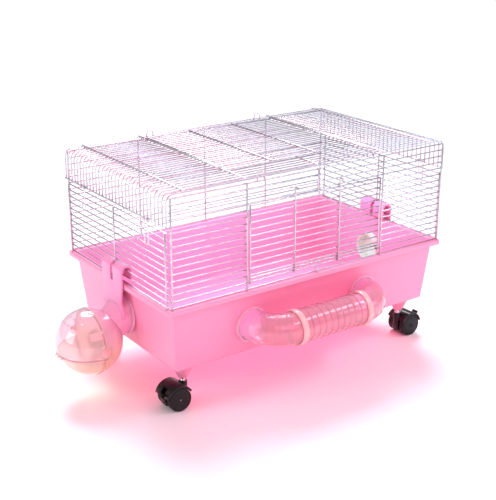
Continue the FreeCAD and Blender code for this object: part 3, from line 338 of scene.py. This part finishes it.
def dome_shell(bm, centre, outer, inner, planes, segments=72):
    """Part of a hollow ball: the outer skin is cut by planes, copied inwards, and its edges are closed."""
    turned = Matrix.Translation(centre) @ Matrix.Rotation(math.pi / 2, 4, "X")
    bmesh.ops.create_uvsphere(bm, u_segments=segments, v_segments=segments // 2, radius=outer * MM,
                              matrix=turned)
    for point, outward in planes:
        bmesh.ops.bisect_plane(bm, geom=bm.verts[:] + bm.edges[:] + bm.faces[:], dist=1e-7, plane_co=point,
                               plane_no=outward, clear_outer=True)
    skin = bm.faces[:]
    rim = [edge for edge in bm.edges if edge.is_boundary]
    share = inner / outer
    copies = {vertex: bm.verts.new(centre + (vertex.co - centre) * share) for vertex in bm.verts[:]}
    for face in skin:
        bm.faces.new([copies[vertex] for vertex in reversed(face.verts)])
    for edge in rim:
        first, second = edge.verts
        bm.faces.new((first, second, copies[second], copies[first]))


# ------------------------------------------------------------------------------------------ the palette

PINK = moulded_plastic("tray_pink", (0.97, 0.34, 0.52), 0.36, 0.1)
HANGER_PINK = moulded_plastic("hanger_pink", (0.95, 0.34, 0.58), 0.34, 0.1)
WIRE = plated_wire("plated_wire", (0.42, 0.42, 0.46), (0.64, 0.64, 0.68))
# The thick bars are the same plating as the thin wires; their lighter colour is a painted highlight.
HIGHLIGHT_BAR = plated_wire("plated_bar_painted_highlight", (0.60, 0.60, 0.64), (0.82, 0.82, 0.85))
TUBE = clear_plastic("tube_pink", (1.0, 0.50, 0.62), transmission=0.6)
ELBOW = clear_plastic("elbow_pink", (1.0, 0.70, 0.78), transmission=0.6, fade=(
    "Y", at(0, -205, 0).y, at(0, -160, 0).y, (1.0, 0.50, 0.62), (0.97, 0.62, 0.86)))
RING = moulded_plastic("ring_peach", (1.0, 0.50, 0.50), 0.2, 0.3)
COLLAR = moulded_plastic("collar_lilac", (1.0, 0.52, 0.70), 0.2, 0.3)
BALL_PINK = clear_plastic("ball_pink", (1.0, 0.86, 0.92), transmission=0.85)
SHELL = clear_plastic("ball_shell", (1.0, 0.80, 0.86), transmission=0.5, fade=(
    "Z", 0.085, 0.110, (1.0, 0.74, 0.62), (1.0, 0.72, 0.84)))
BOWL = clear_plastic("ball_peach", (1.0, 0.82, 0.72), transmission=0.55)
NECK = moulded_plastic("neck_pink", (1.0, 0.46, 0.66), 0.14, 0.3)
EDGE = moulded_plastic("ball_edge", (1.0, 0.46, 0.36), 0.18, 0.3)
CAP = clear_plastic("cap_green", (0.80, 0.96, 0.78), 0.12, 0.1)
BLACK = black_plastic("caster_black", 0.22, 900)
MATTE = black_plastic("wheel_black", 0.45, 500)
CHROME = chrome()

# ------------------------------------------------------------------------------------------------- tray

FLOOR_LEVEL, RIM_LEVEL, WALL = 76.0, 190.0, 2.5
RIM_X, RIM_Y, RIM_CORNER, SKIRT_END = 286.0, 170.0, 8, 182
SLOT_PLACES, SLOT_INSET = (-221, 0, 221), 3
FRONT_HOLE, END_HOLE = 26.9, 27.5
CASTER_X, CASTER_Y = 234.5, 121
PORT_X, TUBE_X, TUBE_Z, PORT_Z = 118.0, -6.0, 126.0, 130.0


def rectangle_ring(half_x, half_y, corner, level, steps=8):
    """A level ring of points round a rectangle with round corners, in millimetres."""
    ring = []
    for quarter, (sign_x, sign_y) in enumerate(((1, -1), (1, 1), (-1, 1), (-1, -1))):
        for step in range(steps + 1):
            turn = (quarter - 1 + step / steps) * math.pi / 2
            ring.append(at(sign_x * (half_x - corner) + corner * math.cos(turn),
                           sign_y * (half_y - corner) + corner * math.sin(turn), level))
    return ring


def wall_ring(level, inset):
    """The tub's outline at a level, moved inwards."""
    share = (level - FLOOR_LEVEL) / (RIM_LEVEL - FLOOR_LEVEL)
    return rectangle_ring(264 + 11.5 * share - inset, 150 + 9.5 * share - inset,
                          max(5 + share - inset, 1.5), level)


def rim_ring(inset, level):
    """The rim's outline at a level, moved inwards."""
    return rectangle_ring(RIM_X - inset, RIM_Y - inset, max(RIM_CORNER - inset, 1.5), level)


def tray_shape(bm):
    """The tub, skinned from outside up over the rim and down inside, with four bosses for the casters."""
    quarter = [math.pi / 2 * step / 5 for step in range(6)]
    fillet, room_fillet, lip = 4.0, 4.0, 1.4
    rings = [wall_ring(FLOOR_LEVEL, 60)]
    rings += [wall_ring(FLOOR_LEVEL + fillet * (1 - math.cos(turn)), fillet * (1 - math.sin(turn)))
              for turn in quarter]
    rings += [wall_ring(level, 0) for level in (100, 130, 160, RIM_LEVEL - 5)]
    rings += [wall_ring(RIM_LEVEL - WALL, -1.2), rim_ring(WALL + 1.5, RIM_LEVEL - WALL),
              rim_ring(WALL, RIM_LEVEL - WALL - 1.5), rim_ring(WALL, SKIRT_END + 0.4),
              rim_ring(WALL - 0.5, SKIRT_END), rim_ring(0.5, SKIRT_END), rim_ring(0, SKIRT_END + 0.5)]
    rings += [rim_ring(lip * (1 - math.cos(turn)), RIM_LEVEL - lip * (1 - math.sin(turn)))
              for turn in quarter]
    rings += [rim_ring(4.2, RIM_LEVEL), rim_ring(4.7, RIM_LEVEL - 1.2), rim_ring(8.3, RIM_LEVEL - 1.2),
              rim_ring(8.8, RIM_LEVEL)]
    rings += [wall_ring(RIM_LEVEL - 1.5 * (1 - math.cos(turn)), WALL - 1.5 * (1 - math.sin(turn)))
              for turn in quarter]
    rings += [wall_ring(level, WALL) for level in (160, 130, 100)]
    base = FLOOR_LEVEL + WALL
    rings += [wall_ring(base + room_fillet * (1 - math.sin(turn)), WALL + room_fillet * (1 - math.cos(turn)))
              for turn in quarter]
    rings.append(wall_ring(base, 60))
    join_rings(bm, rings)
    for side_x in (-1, 1):
        for side_y in (-1, 1):
            boss = [(4.3, 50.5), (4.3, 50), (7.5, 50), (8.5, 51), (18.9, 74), (22, 77.6), (4.3, 77.6)]
            lathe(bm, at(side_x * CASTER_X, side_y * CASTER_Y, 0), Z, boss, 40, closed=True)


def tray_holes(bm):
    """Two ports in front, one at each end, and three slots along each long side of the rim."""
    for side in (-1, 1):
        lathe(bm, at(TUBE_X + side * PORT_X, -175, TUBE_Z), Y, [(FRONT_HOLE, 0), (FRONT_HOLE, 40)], 56)
        lathe(bm, at(side * 290, 0, PORT_Z), -X * side, [(END_HOLE, 0), (END_HOLE, 40)], 56)
        for along in SLOT_PLACES:
            place = Matrix.Translation(at(along, side * (RIM_Y - SLOT_INSET), RIM_LEVEL))
            bmesh.ops.create_cube(bm, size=1, matrix=place @ Matrix.Diagonal((0.015, 0.003, 0.012, 1)))


mesh_piece("cage_tray", tray_shape, PINK, "base", ("tray",), holes=tray_holes)

# -------------------------------------------------------------------------------------- the wire panels

THIN, THICK = 1.1, 1.4
PITCH, FIRST_ROW = 10.9, 192.4
PANEL_Y, POST_Y = 164.0, 166.5
ROOF_Z, ROOF_BAR_Z = 371.9, 374.4
PANEL_ROWS, END_ROWS, ROOF_ROWS = 17, 12, 31
DOOR_ROWS = range(2, 13)
TOP_DOOR_ROWS = range(6, 29)
POST_X, DOORWAY_X, DOOR_X, RIB_X = 277, 140, 134, 46
END_X, END_POST_X, END_POSTS = 280, 282.5, (-158, 0, 158)
LOW_BAR_X, LOW_BAR_Z, ROOF_HALF_Y = 285, 323, 163.5
ROOF_BARS = (-250, -DOORWAY_X, DOORWAY_X, 250)


def level_of(row):
    """The height of a row of the upright panels."""
    return FIRST_ROW + PITCH * row


def across_of(row):
    """The place across the roof of one of its rows."""
    return -ROOF_HALF_Y + PITCH * row


def straight(bm, start, end, radius):
    """A straight wire between two points in millimetres."""
    wire(bm, [at(*start), at(*end)], radius)


def welds(bm, points):
    """A spot weld at each point."""
    for point in points:
        nugget(bm, at(*point))


def long_panel(bm, side):
    """The front panel (side -1) leaves a doorway; the back one doesn't."""
    posts = [-POST_X, -DOORWAY_X, DOORWAY_X, POST_X] + ([0] if side > 0 else [])
    for row in range(PANEL_ROWS):
        level = level_of(row)
        half = 277.4 if row == PANEL_ROWS - 1 else 279
        gap = side < 0 and row in DOOR_ROWS
        spans = ((-half, -DOORWAY_X), (DOORWAY_X, half)) if gap else ((-half, half),)
        for start, end in spans:
            straight(bm, (start, side * PANEL_Y, level), (end, side * PANEL_Y, level), THIN)
        welds(bm, [(along, side * (PANEL_Y + 1.2), level) for along in posts])
    for along in posts:
        straight(bm, (along, side * POST_Y, RIM_LEVEL), (along, side * POST_Y, 369), THICK)
    if side < 0:
        straight(bm, (0, -POST_Y, 332.2), (0, -POST_Y, 369), THICK)
        straight(bm, (0, -POST_Y, RIM_LEVEL), (0, -POST_Y, level_of(1)), THICK)


def end_panel(bm, side):
    """Twelve level wires on three posts."""
    for row in range(END_ROWS):
        straight(bm, (side * END_X, -160, level_of(row)), (side * END_X, 160, level_of(row)), THIN)
        welds(bm, [(side * 281.2, across, level_of(row)) for across in END_POSTS])
    for across in END_POSTS:
        straight(bm, (side * END_POST_X, across, RIM_LEVEL), (side * END_POST_X, across, 314), THICK)


def roof_shape(bm):
    """Long wires bent down at both ends, and cut short round the opening of the top door."""
    bend, leg, foot = 12.0, 282.5, 321.0
    for row in range(ROOF_ROWS):
        across = across_of(row)
        halves = []
        for side in (-1, 1):
            turn_centre = at(side * (leg - bend), across, ROOF_Z - bend)
            corner = arc(turn_centre, Vector((side * bend * MM, 0, 0)), Y, -90 * side, 8)
            halves.append([at(side * leg, across, foot), *corner])
        if row in TOP_DOOR_ROWS:
            for side, half in zip((-1, 1), halves):
                wire(bm, half + [at(side * DOORWAY_X, across, ROOF_Z)], THIN)
        else:
            wire(bm, halves[0] + halves[1][::-1], THIN)
        welds(bm, [(along, across, ROOF_Z + 1.2) for along in ROOF_BARS])
        welds(bm, [(side * 283.7, across, LOW_BAR_Z) for side in (-1, 1)])


def roof_bars_shape(bm):
    """The thick bars across the roof, and one along each bent-down end."""
    for along in ROOF_BARS:
        straight(bm, (along, -ROOF_HALF_Y, ROOF_BAR_Z), (along, ROOF_HALF_Y, ROOF_BAR_Z), THICK)
    straight(bm, (0, -ROOF_HALF_Y, ROOF_BAR_Z), (0, -105.8, ROOF_BAR_Z), THICK)
    for side in (-1, 1):
        straight(bm, (side * LOW_BAR_X, -ROOF_HALF_Y, LOW_BAR_Z), (side * LOW_BAR_X, ROOF_HALF_Y, LOW_BAR_Z),
                 THICK)


def front_door_shape(bm):
    """A frame of thick wire, two ribs that end in finger hooks, and loops round the hinge wire."""
    for row in DOOR_ROWS:
        straight(bm, (-DOOR_X, -PANEL_Y, level_of(row)), (DOOR_X, -PANEL_Y, level_of(row)), THIN)
        welds(bm, [(along, -PANEL_Y - 1.2, level_of(row)) for along in (-DOOR_X, -RIB_X, RIB_X, DOOR_X)])
    for level in (209, 329.4):
        straight(bm, (-DOOR_X, -163.7, level), (DOOR_X, -163.7, level), THICK)
    hinge = level_of(1)
    for along in (-DOOR_X, DOOR_X):
        straight(bm, (along, -POST_Y, hinge), (along, -POST_Y, 330.8), THICK)
    for along in (-RIB_X, RIB_X):
        hook = arc(at(along, -170, 342), Vector((0, 3.5 * MM, 0)), X, 180, 10)
        wire(bm, [at(along, -POST_Y, hinge), *hook], THICK)
    for along in (-DOOR_X, -RIB_X, RIB_X, DOOR_X):
        loop = arc(at(along, -PANEL_Y, hinge), Vector((0, -2.5 * MM, 0)), X, 360, 14)[:-1]
        wire(bm, loop, 1.0, 8, closed=True)


def top_door_shape(bm):
    """Level wires on four bars, the last of which runs on as a catch, and loops round the hinge bar."""
    hinge_side = -135.2
    bars = ((hinge_side, -103), (-RIB_X, -103), (RIB_X, -103), (DOOR_X, -130))
    for row in TOP_DOOR_ROWS:
        straight(bm, (hinge_side, across_of(row), ROOF_Z), (DOOR_X, across_of(row), ROOF_Z), THIN)
        welds(bm, [(along, across_of(row), ROOF_Z + 1.2) for along, _ in bars])
    for along, front in bars:
        straight(bm, (along, front, ROOF_BAR_Z), (along, 147, ROOF_BAR_Z), THICK)
    for row in (6.5, 17.5, 27.5):
        loop = arc(at(-DOORWAY_X, across_of(row), ROOF_BAR_Z), Vector((2.9 * MM, 0, 0)), Y, 360, 14)[:-1]
        wire(bm, loop, 1.0, 8, closed=True)


mesh_piece("front_wires", lambda bm: long_panel(bm, -1), WIRE, "base", ("front_panel",))
mesh_piece("back_wires", lambda bm: long_panel(bm, 1), WIRE, "base", ("back_panel",))
mesh_piece("left_end_wires", lambda bm: end_panel(bm, -1), WIRE, "base", ("left_end_panel",))
mesh_piece("right_end_wires", lambda bm: end_panel(bm, 1), WIRE, "base", ("right_end_panel",))
mesh_piece("roof_wires", roof_shape, WIRE, "roof", ("roof_panel",))
# The roof bars wear the lighter plating, a painted highlight.
mesh_piece("roof_bars", roof_bars_shape, HIGHLIGHT_BAR, "roof")
mesh_piece("front_door_wires", front_door_shape, WIRE, "front_door", ("front_door",))
mesh_piece("top_door_wires", top_door_shape, WIRE, "top_door", ("top_door",))

# The latches wear the lighter bar plating too, a painted highlight.
for node in sorted(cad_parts):
    if node.startswith("latch"):
        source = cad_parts[node]
        source.data.materials.clear()
        source.data.materials.append(HIGHLIGHT_BAR)

# --------------------------------------------------------------------------------------------- hangers

softened("left_hanger", "hanger_left", HANGER_PINK, "base", 0.0007)
softened("right_hanger", "hanger_right", HANGER_PINK, "base", 0.0007)

# ------------------------------------------------------------------------------------------ ball room

BALL_X, BALL_Z = -336.2, 93.3
BALL = at(BALL_X, 0, BALL_Z)
SHELL_OUT, SHELL_IN = 54.4, 52.6
VISOR_OUT, VISOR_IN = 56.7, 55.0
SPLIT = 10.0
NECK_AXIS = Vector((math.sin(math.radians(61)), 0, math.cos(math.radians(61))))
FLANGE_X = -274.5


def neck_radius(distance, inset=0.0):
    """The radius of the neck's cone at a distance from the ball's middle."""
    return 24 + 0.1 * distance - inset


def pivot_holes(bm):
    """The two bores for the visor's pins."""
    for side in (-1, 1):
        lathe(bm, BALL, Y * side, [(2.6, 45), (2.6, 62)], 24)


def rear_shape(bm):
    """The half of the ball that faces the cage."""
    dome_shell(bm, BALL, SHELL_OUT, SHELL_IN, [(BALL, -X)])


def rear_holes(bm):
    """The mouth of the neck, and the pin bores."""
    lathe(bm, BALL, NECK_AXIS, [(neck_radius(20), 20), (neck_radius(75), 75)], 64)
    pivot_holes(bm)


def split_point(drop):
    """A point under the ball's middle, where a level cut passes."""
    return BALL - Z * drop * MM


def bowl_shape(bm):
    """The lower front quarter, under the visor."""
    dome_shell(bm, BALL, SHELL_OUT, SHELL_IN, [(BALL, X), (split_point(SPLIT), Z)])


def visor_shape(bm):
    """The upper front quarter, a little larger, so that it swings outside the rest."""
    dome_shell(bm, BALL, VISOR_OUT, VISOR_IN, [(BALL + X * 3 * MM, X), (split_point(SPLIT + 3), -Z)])


def visor_holes(bm):
    """The pin bores and two rows of four vents."""
    pivot_holes(bm)
    for column in range(4):
        for row in range(2):
            lean, turn = math.radians(-30 - 14 * row), math.radians(12 * (column - 1.5))
            swing = Quaternion(Y, lean) @ Quaternion(X, turn)
            lathe(bm, BALL, swing @ Z, [(1.5, 50), (1.5, 62)], 16)


def ball_arc(radius, plane_x, plane_drop, start, end, steps=40):
    """Points on a ball of a radius where a vertical or a level plane cuts it, between two angles."""
    points = []
    for step in range(steps + 1):
        turn = math.radians(start + (end - start) * step / steps)
        if plane_x is None:
            ring = math.sqrt(radius ** 2 - plane_drop ** 2)
            points.append(BALL + Vector((-ring * math.cos(turn), ring * math.sin(turn), -plane_drop)) * MM)
        else:
            ring = math.sqrt(radius ** 2 - plane_x ** 2)
            points.append(BALL + Vector((plane_x, ring * math.cos(turn), ring * math.sin(turn))) * MM)
    return points


def visor_trim(bm):
    """The rolled edges of the visor, its two pivot ears, and the tab that lifts it."""
    wire(bm, ball_arc(VISOR_OUT - 0.4, None, SPLIT + 2.4, -86, 86), 1.1, 8)
    wire(bm, ball_arc(VISOR_OUT - 0.4, 2.4, None, -10, 190), 1.0, 8)
    for side in (-1, 1):
        ear = [(2.7, 54.4), (7.4, 54.4), (8.0, 55.0), (8.0, 57.0), (7.2, 57.7), (2.7, 57.7)]
        lathe(bm, BALL, Y * side, ear, 32, closed=True)
    for turn in (-10, 0, 10):
        lean = math.radians(turn)
        out = Vector((-math.cos(lean), math.sin(lean), 0))
        start = BALL + out * (VISOR_OUT - 2.4) * MM - Z * (SPLIT + 1.2) * MM
        wire(bm, [start, start + (out * 2.2 - Z * 0.6) * MM, start + (out * 4.2 - Z * 2.4) * MM], 1.3, 8)


def bowl_trim(bm):
    """The rolled edges of the bowl."""
    wire(bm, ball_arc(SHELL_OUT + 0.1, None, SPLIT + 0.9, -88, 88), 0.9, 8)
    wire(bm, ball_arc(SHELL_OUT + 0.3, -1.0, None, 190, 350), 1.0, 8)


def rear_trim(bm):
    """The seam round the rear half."""
    wire(bm, ball_arc(SHELL_OUT + 0.3, 1.6, None, 0, 360)[:-1], 1.3, 8, closed=True)


def neck_shape(bm):
    """A thin flare from inside the rear shell to the upright flange, made of an outer and an inner skin."""
    side, other = directions(NECK_AXIS)
    count = 72
    skins = []
    for inset in (0.0, 2.0):
        rings = []
        for share in (0.0, 0.3, 0.6, 0.85, 1.0):
            ring = []
            for step in range(count):
                turn = 2 * math.pi * step / count
                out = side * math.cos(turn) + other * math.sin(turn)
                start = 42.0
                end = (FLANGE_X - BALL_X + 1 - (24 - inset) * out.x) / (NECK_AXIS.x + 0.1 * out.x)
                along = start + (end - start) * share
                ring.append(BALL + (NECK_AXIS * along + out * neck_radius(along, inset)) * MM)
            rings.append(ring)
        skins.append(rings)
    join_rings(bm, skins[0] + skins[1][::-1], closed=True)
    flange = [(27, 0), (35.6, 0), (37, 1.2), (37, 3.6), (36, 5), (27, 7), (25, 9), (25, -1), (27, -1)]
    lathe(bm, at(FLANGE_X, 0, PORT_Z), X, flange, 72, closed=True)


mesh_piece("ball_back_shell", rear_shape, SHELL, "base", ("ball_rear_shell",), holes=rear_holes)
mesh_piece("ball_seam", rear_trim, EDGE, "base")
mesh_piece("ball_neck_flare", neck_shape, NECK, "base", ("ball_neck",))
mesh_piece("ball_lower_bowl", bowl_shape, BOWL, "base", ("ball_bowl",), holes=pivot_holes)
mesh_piece("ball_bowl_edge", bowl_trim, EDGE, "base")
mesh_piece("ball_lid", visor_shape, BALL_PINK, "ball_visor", ("ball_visor",), holes=visor_holes)
mesh_piece("ball_lid_edge", visor_trim, RING, "ball_visor")


def pins_shape(bm):
    """The visor's two pins, with round heads."""
    for side in (-1, 1):
        pin = [(2.4, 50.6), (2.4, 58.0), (4.2, 58.0), (4.5, 58.4), (4.3, 59.2), (3.2, 59.8), (0.4, 60.0)]
        lathe(bm, BALL, Y * side, pin, 28)


mesh_piece("ball_pins", pins_shape, RING, "base", ("ball_pivot_pins",))

# ------------------------------------------------------------------------------------------ crawl tube

TUBE_Y, TUBE_END, BORE, OUTSIDE = -208.5, 68.0, 24.5, 26.5
ELBOW_Y, BEND = -158.5, 50.0
BAND_BORE, BAND_OUTSIDE = 27.0, 30.0


def tube_rings(path, radii, count=56):
    """Rings round a level path of (point, direction), one for each radius."""
    return [circle_ring(point, along.cross(Z), Z, radius * MM, count)
            for (point, along), radius in zip(path, radii)]


def elbow_shape(bm, side):
    """A quarter bend with fine ribs round it, and a plain stub that passes through the wall."""
    path, radii = [], []
    for level in (-147, -152, ELBOW_Y):
        path.append((at(TUBE_X + side * PORT_X, level, TUBE_Z), -Y))
        radii.append(OUTSIDE)
    steps = 66
    for step in range(1, steps + 1):
        turn = math.pi / 2 * step / steps
        point = at(TUBE_X + side * (PORT_X - BEND * (1 - math.cos(turn))), ELBOW_Y - BEND * math.sin(turn),
                   TUBE_Z)
        path.append((point, Vector((-side * math.sin(turn), -math.cos(turn), 0))))
        ribbed = 6 < step < steps - 6 and step % 6 < 2
        radii.append(OUTSIDE + (0.35 if ribbed else 0.0))
    outer = tube_rings(path, radii)
    inner = tube_rings(path, [BORE] * len(path))
    join_rings(bm, outer + inner[::-1], closed=True)


def straight_tube_shape(bm):
    """The straight run, with nine raised hoops round it."""
    hoops = [(index + 1) / 10 * 2 - 1 for index in range(9)]
    hoops = [share * (TUBE_END - 5) for share in hoops]
    profile = [(OUTSIDE, -TUBE_END)]
    for hoop in hoops:
        profile += [(OUTSIDE, hoop - 2.2), (OUTSIDE + 0.7, hoop - 1.5), (OUTSIDE + 1.6, hoop - 0.6),
                    (OUTSIDE + 1.6, hoop + 0.6), (OUTSIDE + 0.7, hoop + 1.5), (OUTSIDE, hoop + 2.2)]
    profile.append((OUTSIDE, TUBE_END))
    inside = [(BORE, TUBE_END)]
    for hoop in reversed(hoops):
        inside += [(BORE, hoop + 1.6), (BORE + 0.9, hoop + 0.5), (BORE + 0.9, hoop - 0.5), (BORE, hoop - 1.6)]
    inside.append((BORE, -TUBE_END))
    lathe(bm, at(TUBE_X, TUBE_Y, TUBE_Z), X, profile + inside, 72, closed=True)


def band(bm, centre, axis, low, high, inside, outside, bevel=0.9):
    """A ring with rounded outer edges, between two places along its axis."""
    profile = [(inside, low), (outside - bevel, low), (outside - bevel * 0.3, low + bevel * 0.3),
               (outside, low + bevel), (outside, high - bevel), (outside - bevel * 0.3, high - bevel * 0.3),
               (outside - bevel, high), (inside, high)]
    lathe(bm, centre, axis, profile, 72, closed=True)


def collar_shape(bm, side):
    """A ring round the port against the wall, with a lower lip in front, round the tube."""
    centre = at(TUBE_X + side * PORT_X, -161, TUBE_Z)
    band(bm, centre, Y, 1.6, 7.5, BAND_BORE, BAND_OUTSIDE, 1.0)
    band(bm, centre, Y, 0, 2.4, BAND_BORE, 28.8, 0.6)


for side, end in ((-1, "left"), (1, "right")):
    mesh_piece(f"tube_elbow_{end}", lambda bm, side=side: elbow_shape(bm, side), ELBOW, "base",
               (f"elbow_{end}",))
    mesh_piece(f"joining_ring_{end}",
               lambda bm, side=side: band(bm, at(TUBE_X + side * TUBE_END, TUBE_Y, TUBE_Z), X, -5, 5,
                                          BAND_BORE, BAND_OUTSIDE),
               RING, "base", (f"tube_ring_{end}",))
    mesh_piece(f"port_collar_{end}", lambda bm, side=side: collar_shape(bm, side), COLLAR, "base",
               (f"wall_collar_{end}",))
mesh_piece("tube_middle", straight_tube_shape, TUBE, "base", ("tube_straight",))


def cap_shape(bm):
    """A flange and spigot with a thin dome."""
    dome = []
    for step in range(9):
        turn = math.asin(27.0 / 42) * (1 - step / 8)
        dome.append((max(42 * math.sin(turn), 0.5), 245.5 + 42 * math.cos(turn)))
    room = [(max(radius - 0.6, 0.4), along - 1.9) for radius, along in reversed(dome)]
    profile = [(27.4, 260), (27.4, 268), (31.2, 272), (32, 273), (32, 275.6), (31, 277), *dome, *room,
               (25.4, 275), (25.4, 260)]
    lathe(bm, at(0, 0, PORT_Z), X, profile, 64, closed=True)


mesh_piece("port_cover", cap_shape, CAP, "base", ("port_cap",))

# --------------------------------------------------------------------------------------------- casters

TRAIL, WHEEL_RADIUS = 16.5, 20
AXLE_PROFILE = [(1.5, -19.5), (2, -19), (2, 19), (1.5, 19.5)]


def wheel_shape(bm, centre, side):
    """A tread with two shallow grooves and a domed outer disc with a round cap on the axle."""
    profile = [(2.05, 8.5), (18.4, 8.5), (19.6, 9.0), (20, 9.9), (20, 12.0), (19.6, 12.3), (19.6, 12.8),
               (20, 13.1), (20, 15.9), (19.6, 16.2), (19.6, 16.7), (20, 17.0), (20, 19.0), (19.5, 19.9),
               (18.4, 20.4), (17.2, 20.4), (16.7, 19.9), (16.2, 19.9), (15.6, 20.2), (12.5, 20.6),
               (9.0, 20.8), (6.0, 20.9), (5.6, 20.6), (5.2, 20.6), (4.9, 21.0), (3.6, 21.3), (2.05, 21.3)]
    lathe(bm, centre, Y * side, profile, 64, closed=True)


def stem_shape(bm, centre):
    """A round stem with a washer above the socket."""
    profile = [(0.4, 30), (3.9, 30), (3.9, 44), (5.6, 44), (6.0, 44.3), (6.0, 45.3), (5.6, 45.6),
               (3.95, 45.6), (3.95, 50), (3.95, 72.2), (3.3, 73), (0.4, 73)]
    lathe(bm, centre, Z, profile, 32)


for corner, side_x, side_y in (("front_left", -1, -1), ("front_right", 1, -1), ("back_left", -1, 1),
                               ("back_right", 1, 1)):
    caster = f"caster_{corner}"
    foot = at(side_x * CASTER_X, side_y * CASTER_Y, 0)
    axle = foot + X * side_x * TRAIL * MM + Z * WHEEL_RADIUS * MM
    softened(f"{caster}_hood", f"{caster}_housing", BLACK, f"{caster}_swivel", 0.0006)
    softened(f"{caster}_lever", f"{caster}_brake_lever", BLACK, f"{caster}_brake", 0.0004)
    mesh_piece(f"{caster}_pin", lambda bm, foot=foot: stem_shape(bm, foot), CHROME, f"{caster}_swivel",
               (f"{caster}_stem",))
    for side, part in ((-1, "front"), (1, "back")):
        mesh_piece(f"{caster}_roller_{part}",
                   lambda bm, axle=axle, side=side: wheel_shape(bm, axle, side), MATTE,
                   f"{caster}_wheels", (f"{caster}_wheel_{part}",))
    mesh_piece(f"{caster}_shaft",
               lambda bm, axle=axle: lathe(bm, axle, Y, AXLE_PROFILE, 24), CHROME, f"{caster}_wheels",
               (f"{caster}_axle",))

# ----------------------------------------------------------------------------- floor, light and camera


def floor_material():
    """Pale matt board, a little uneven."""
    material, tree, shader = new_material("pale_floor", (0.93, 0.92, 0.93), 0.5)
    tint = ramp(tree, noise(tree, 2, 2), 0.3, 0.7, (0.92, 0.915, 0.92), (0.95, 0.945, 0.95))
    tree.links.new(tint, shader.inputs["Base Color"])
    tree.links.new(spread(tree, noise(tree, 8, 3), 0.48, 0.6), shader.inputs["Roughness"])
    shader.inputs["Specular IOR Level"].default_value = 0.25
    return material


def soft_light(name, where, target, size, power, colour=(1, 1, 1)):
    """A flat light of a size in metres and a power in watts, turned towards a point."""
    data = bpy.data.lights.new(name, "AREA")
    data.shape = "RECTANGLE"
    data.size, data.size_y = size
    data.energy = power
    data.color = colour
    light = bpy.data.objects.new(name, data)
    light.location = where
    light.rotation_euler = (Vector(target) - Vector(where)).to_track_quat("-Z", "Y").to_euler()
    bpy.context.scene.collection.objects.link(light)
    return light


def sun(name, towards, strength, spread_degrees, colour=(1, 1, 1)):
    """An even light from far away, given by the way it shines."""
    data = bpy.data.lights.new(name, "SUN")
    data.energy = strength
    data.angle = math.radians(spread_degrees)
    data.color = colour
    light = bpy.data.objects.new(name, data)
    light.rotation_euler = Vector(towards).to_track_quat("-Z", "Y").to_euler()
    bpy.context.scene.collection.objects.link(light)
    return light


REACH = 60
ground = bpy.data.meshes.new("ground")
ground.from_pydata([(-REACH, -REACH, 0), (REACH, -REACH, 0), (REACH, REACH, 0), (-REACH, REACH, 0)], [],
                   [(0, 1, 2, 3)])
ground.materials.append(floor_material())
floor = bpy.data.objects.new("ground", ground)
bpy.context.scene.collection.objects.link(floor)

world = bpy.data.worlds.new("studio")
world.use_nodes = True
world.node_tree.nodes["Background"].inputs["Color"].default_value = (1.0, 1.0, 1.0, 1)
world.node_tree.nodes["Background"].inputs["Strength"].default_value = 0.4
bpy.context.scene.world = world
AIM = (0.0, 0.0, 0.18)
PINK_GLOW, PEACH_GLOW = (1.0, 0.12, 0.26), (1.0, 0.34, 0.18)
LILAC = (0.60, 0.75, 1.0)
lights = [
    sun("skylight", (-0.28, -0.56, -0.78), 3.2, 30, (0.95, 0.95, 1.0)),
    soft_light("window_left", (-2.3, 0.4, 1.1), AIM, (1.2, 1.6), 22, (0.93, 0.90, 1.0)),
    soft_light("pink_bounce", (-0.2, -1.6, 1.2), (0.0, -0.2, 0.05), (1.6, 0.9), 16, (1.0, 0.30, 0.42)),
    soft_light("strip_front", (1.2, -1.3, 1.9), (0.0, -0.2, 0.12), (1.4, 0.4), 13, (0.85, 0.88, 1.0)),
    soft_light("fill_right", (2.0, -1.7, 1.0), (0.1, -0.2, 0.12), (1.0, 1.0), 9, LILAC),
    soft_light("glow_inside", at(0, 0, 364), at(0, 0, 80), (0.5, 0.28), 1.2, LILAC),
    soft_light("glow_under_tray", at(0, 0, 70), at(0, 0, 0), (0.46, 0.24), 0.34, PINK_GLOW),
    soft_light("glow_before_tray", at(0, -166, 90), at(0, -270, 0), (0.46, 0.03), 0.06, PINK_GLOW),
    soft_light("glow_under_ball", at(-336, 0, 34), at(-336, 0, 0), (0.06, 0.06), 0.02, PEACH_GLOW),
    soft_light("glow_in_ball", at(-336, 0, 138), at(-336, 0, 60), (0.05, 0.05), 0.05, (1.0, 0.75, 0.68)),
]
for light in lights:
    hidden = light.name.startswith("glow")
    light.visible_camera = False
    light.visible_transmission = light.visible_glossy = not hidden

lens = bpy.data.cameras.new("view")
lens.lens = 74.57
lens.sensor_width = 36
camera = bpy.data.objects.new("view", lens)
camera.location = at(-1014.6, -1398.2, 813.9)
aim = at(-19.77, 0, 184.2)
camera.rotation_euler = (aim - camera.location).to_track_quat("-Z", "Y").to_euler()
bpy.context.scene.collection.objects.link(camera)
bpy.context.scene.camera = camera

bpy.context.scene.view_settings.view_transform = "Standard"
bpy.context.scene.view_settings.look = "None"
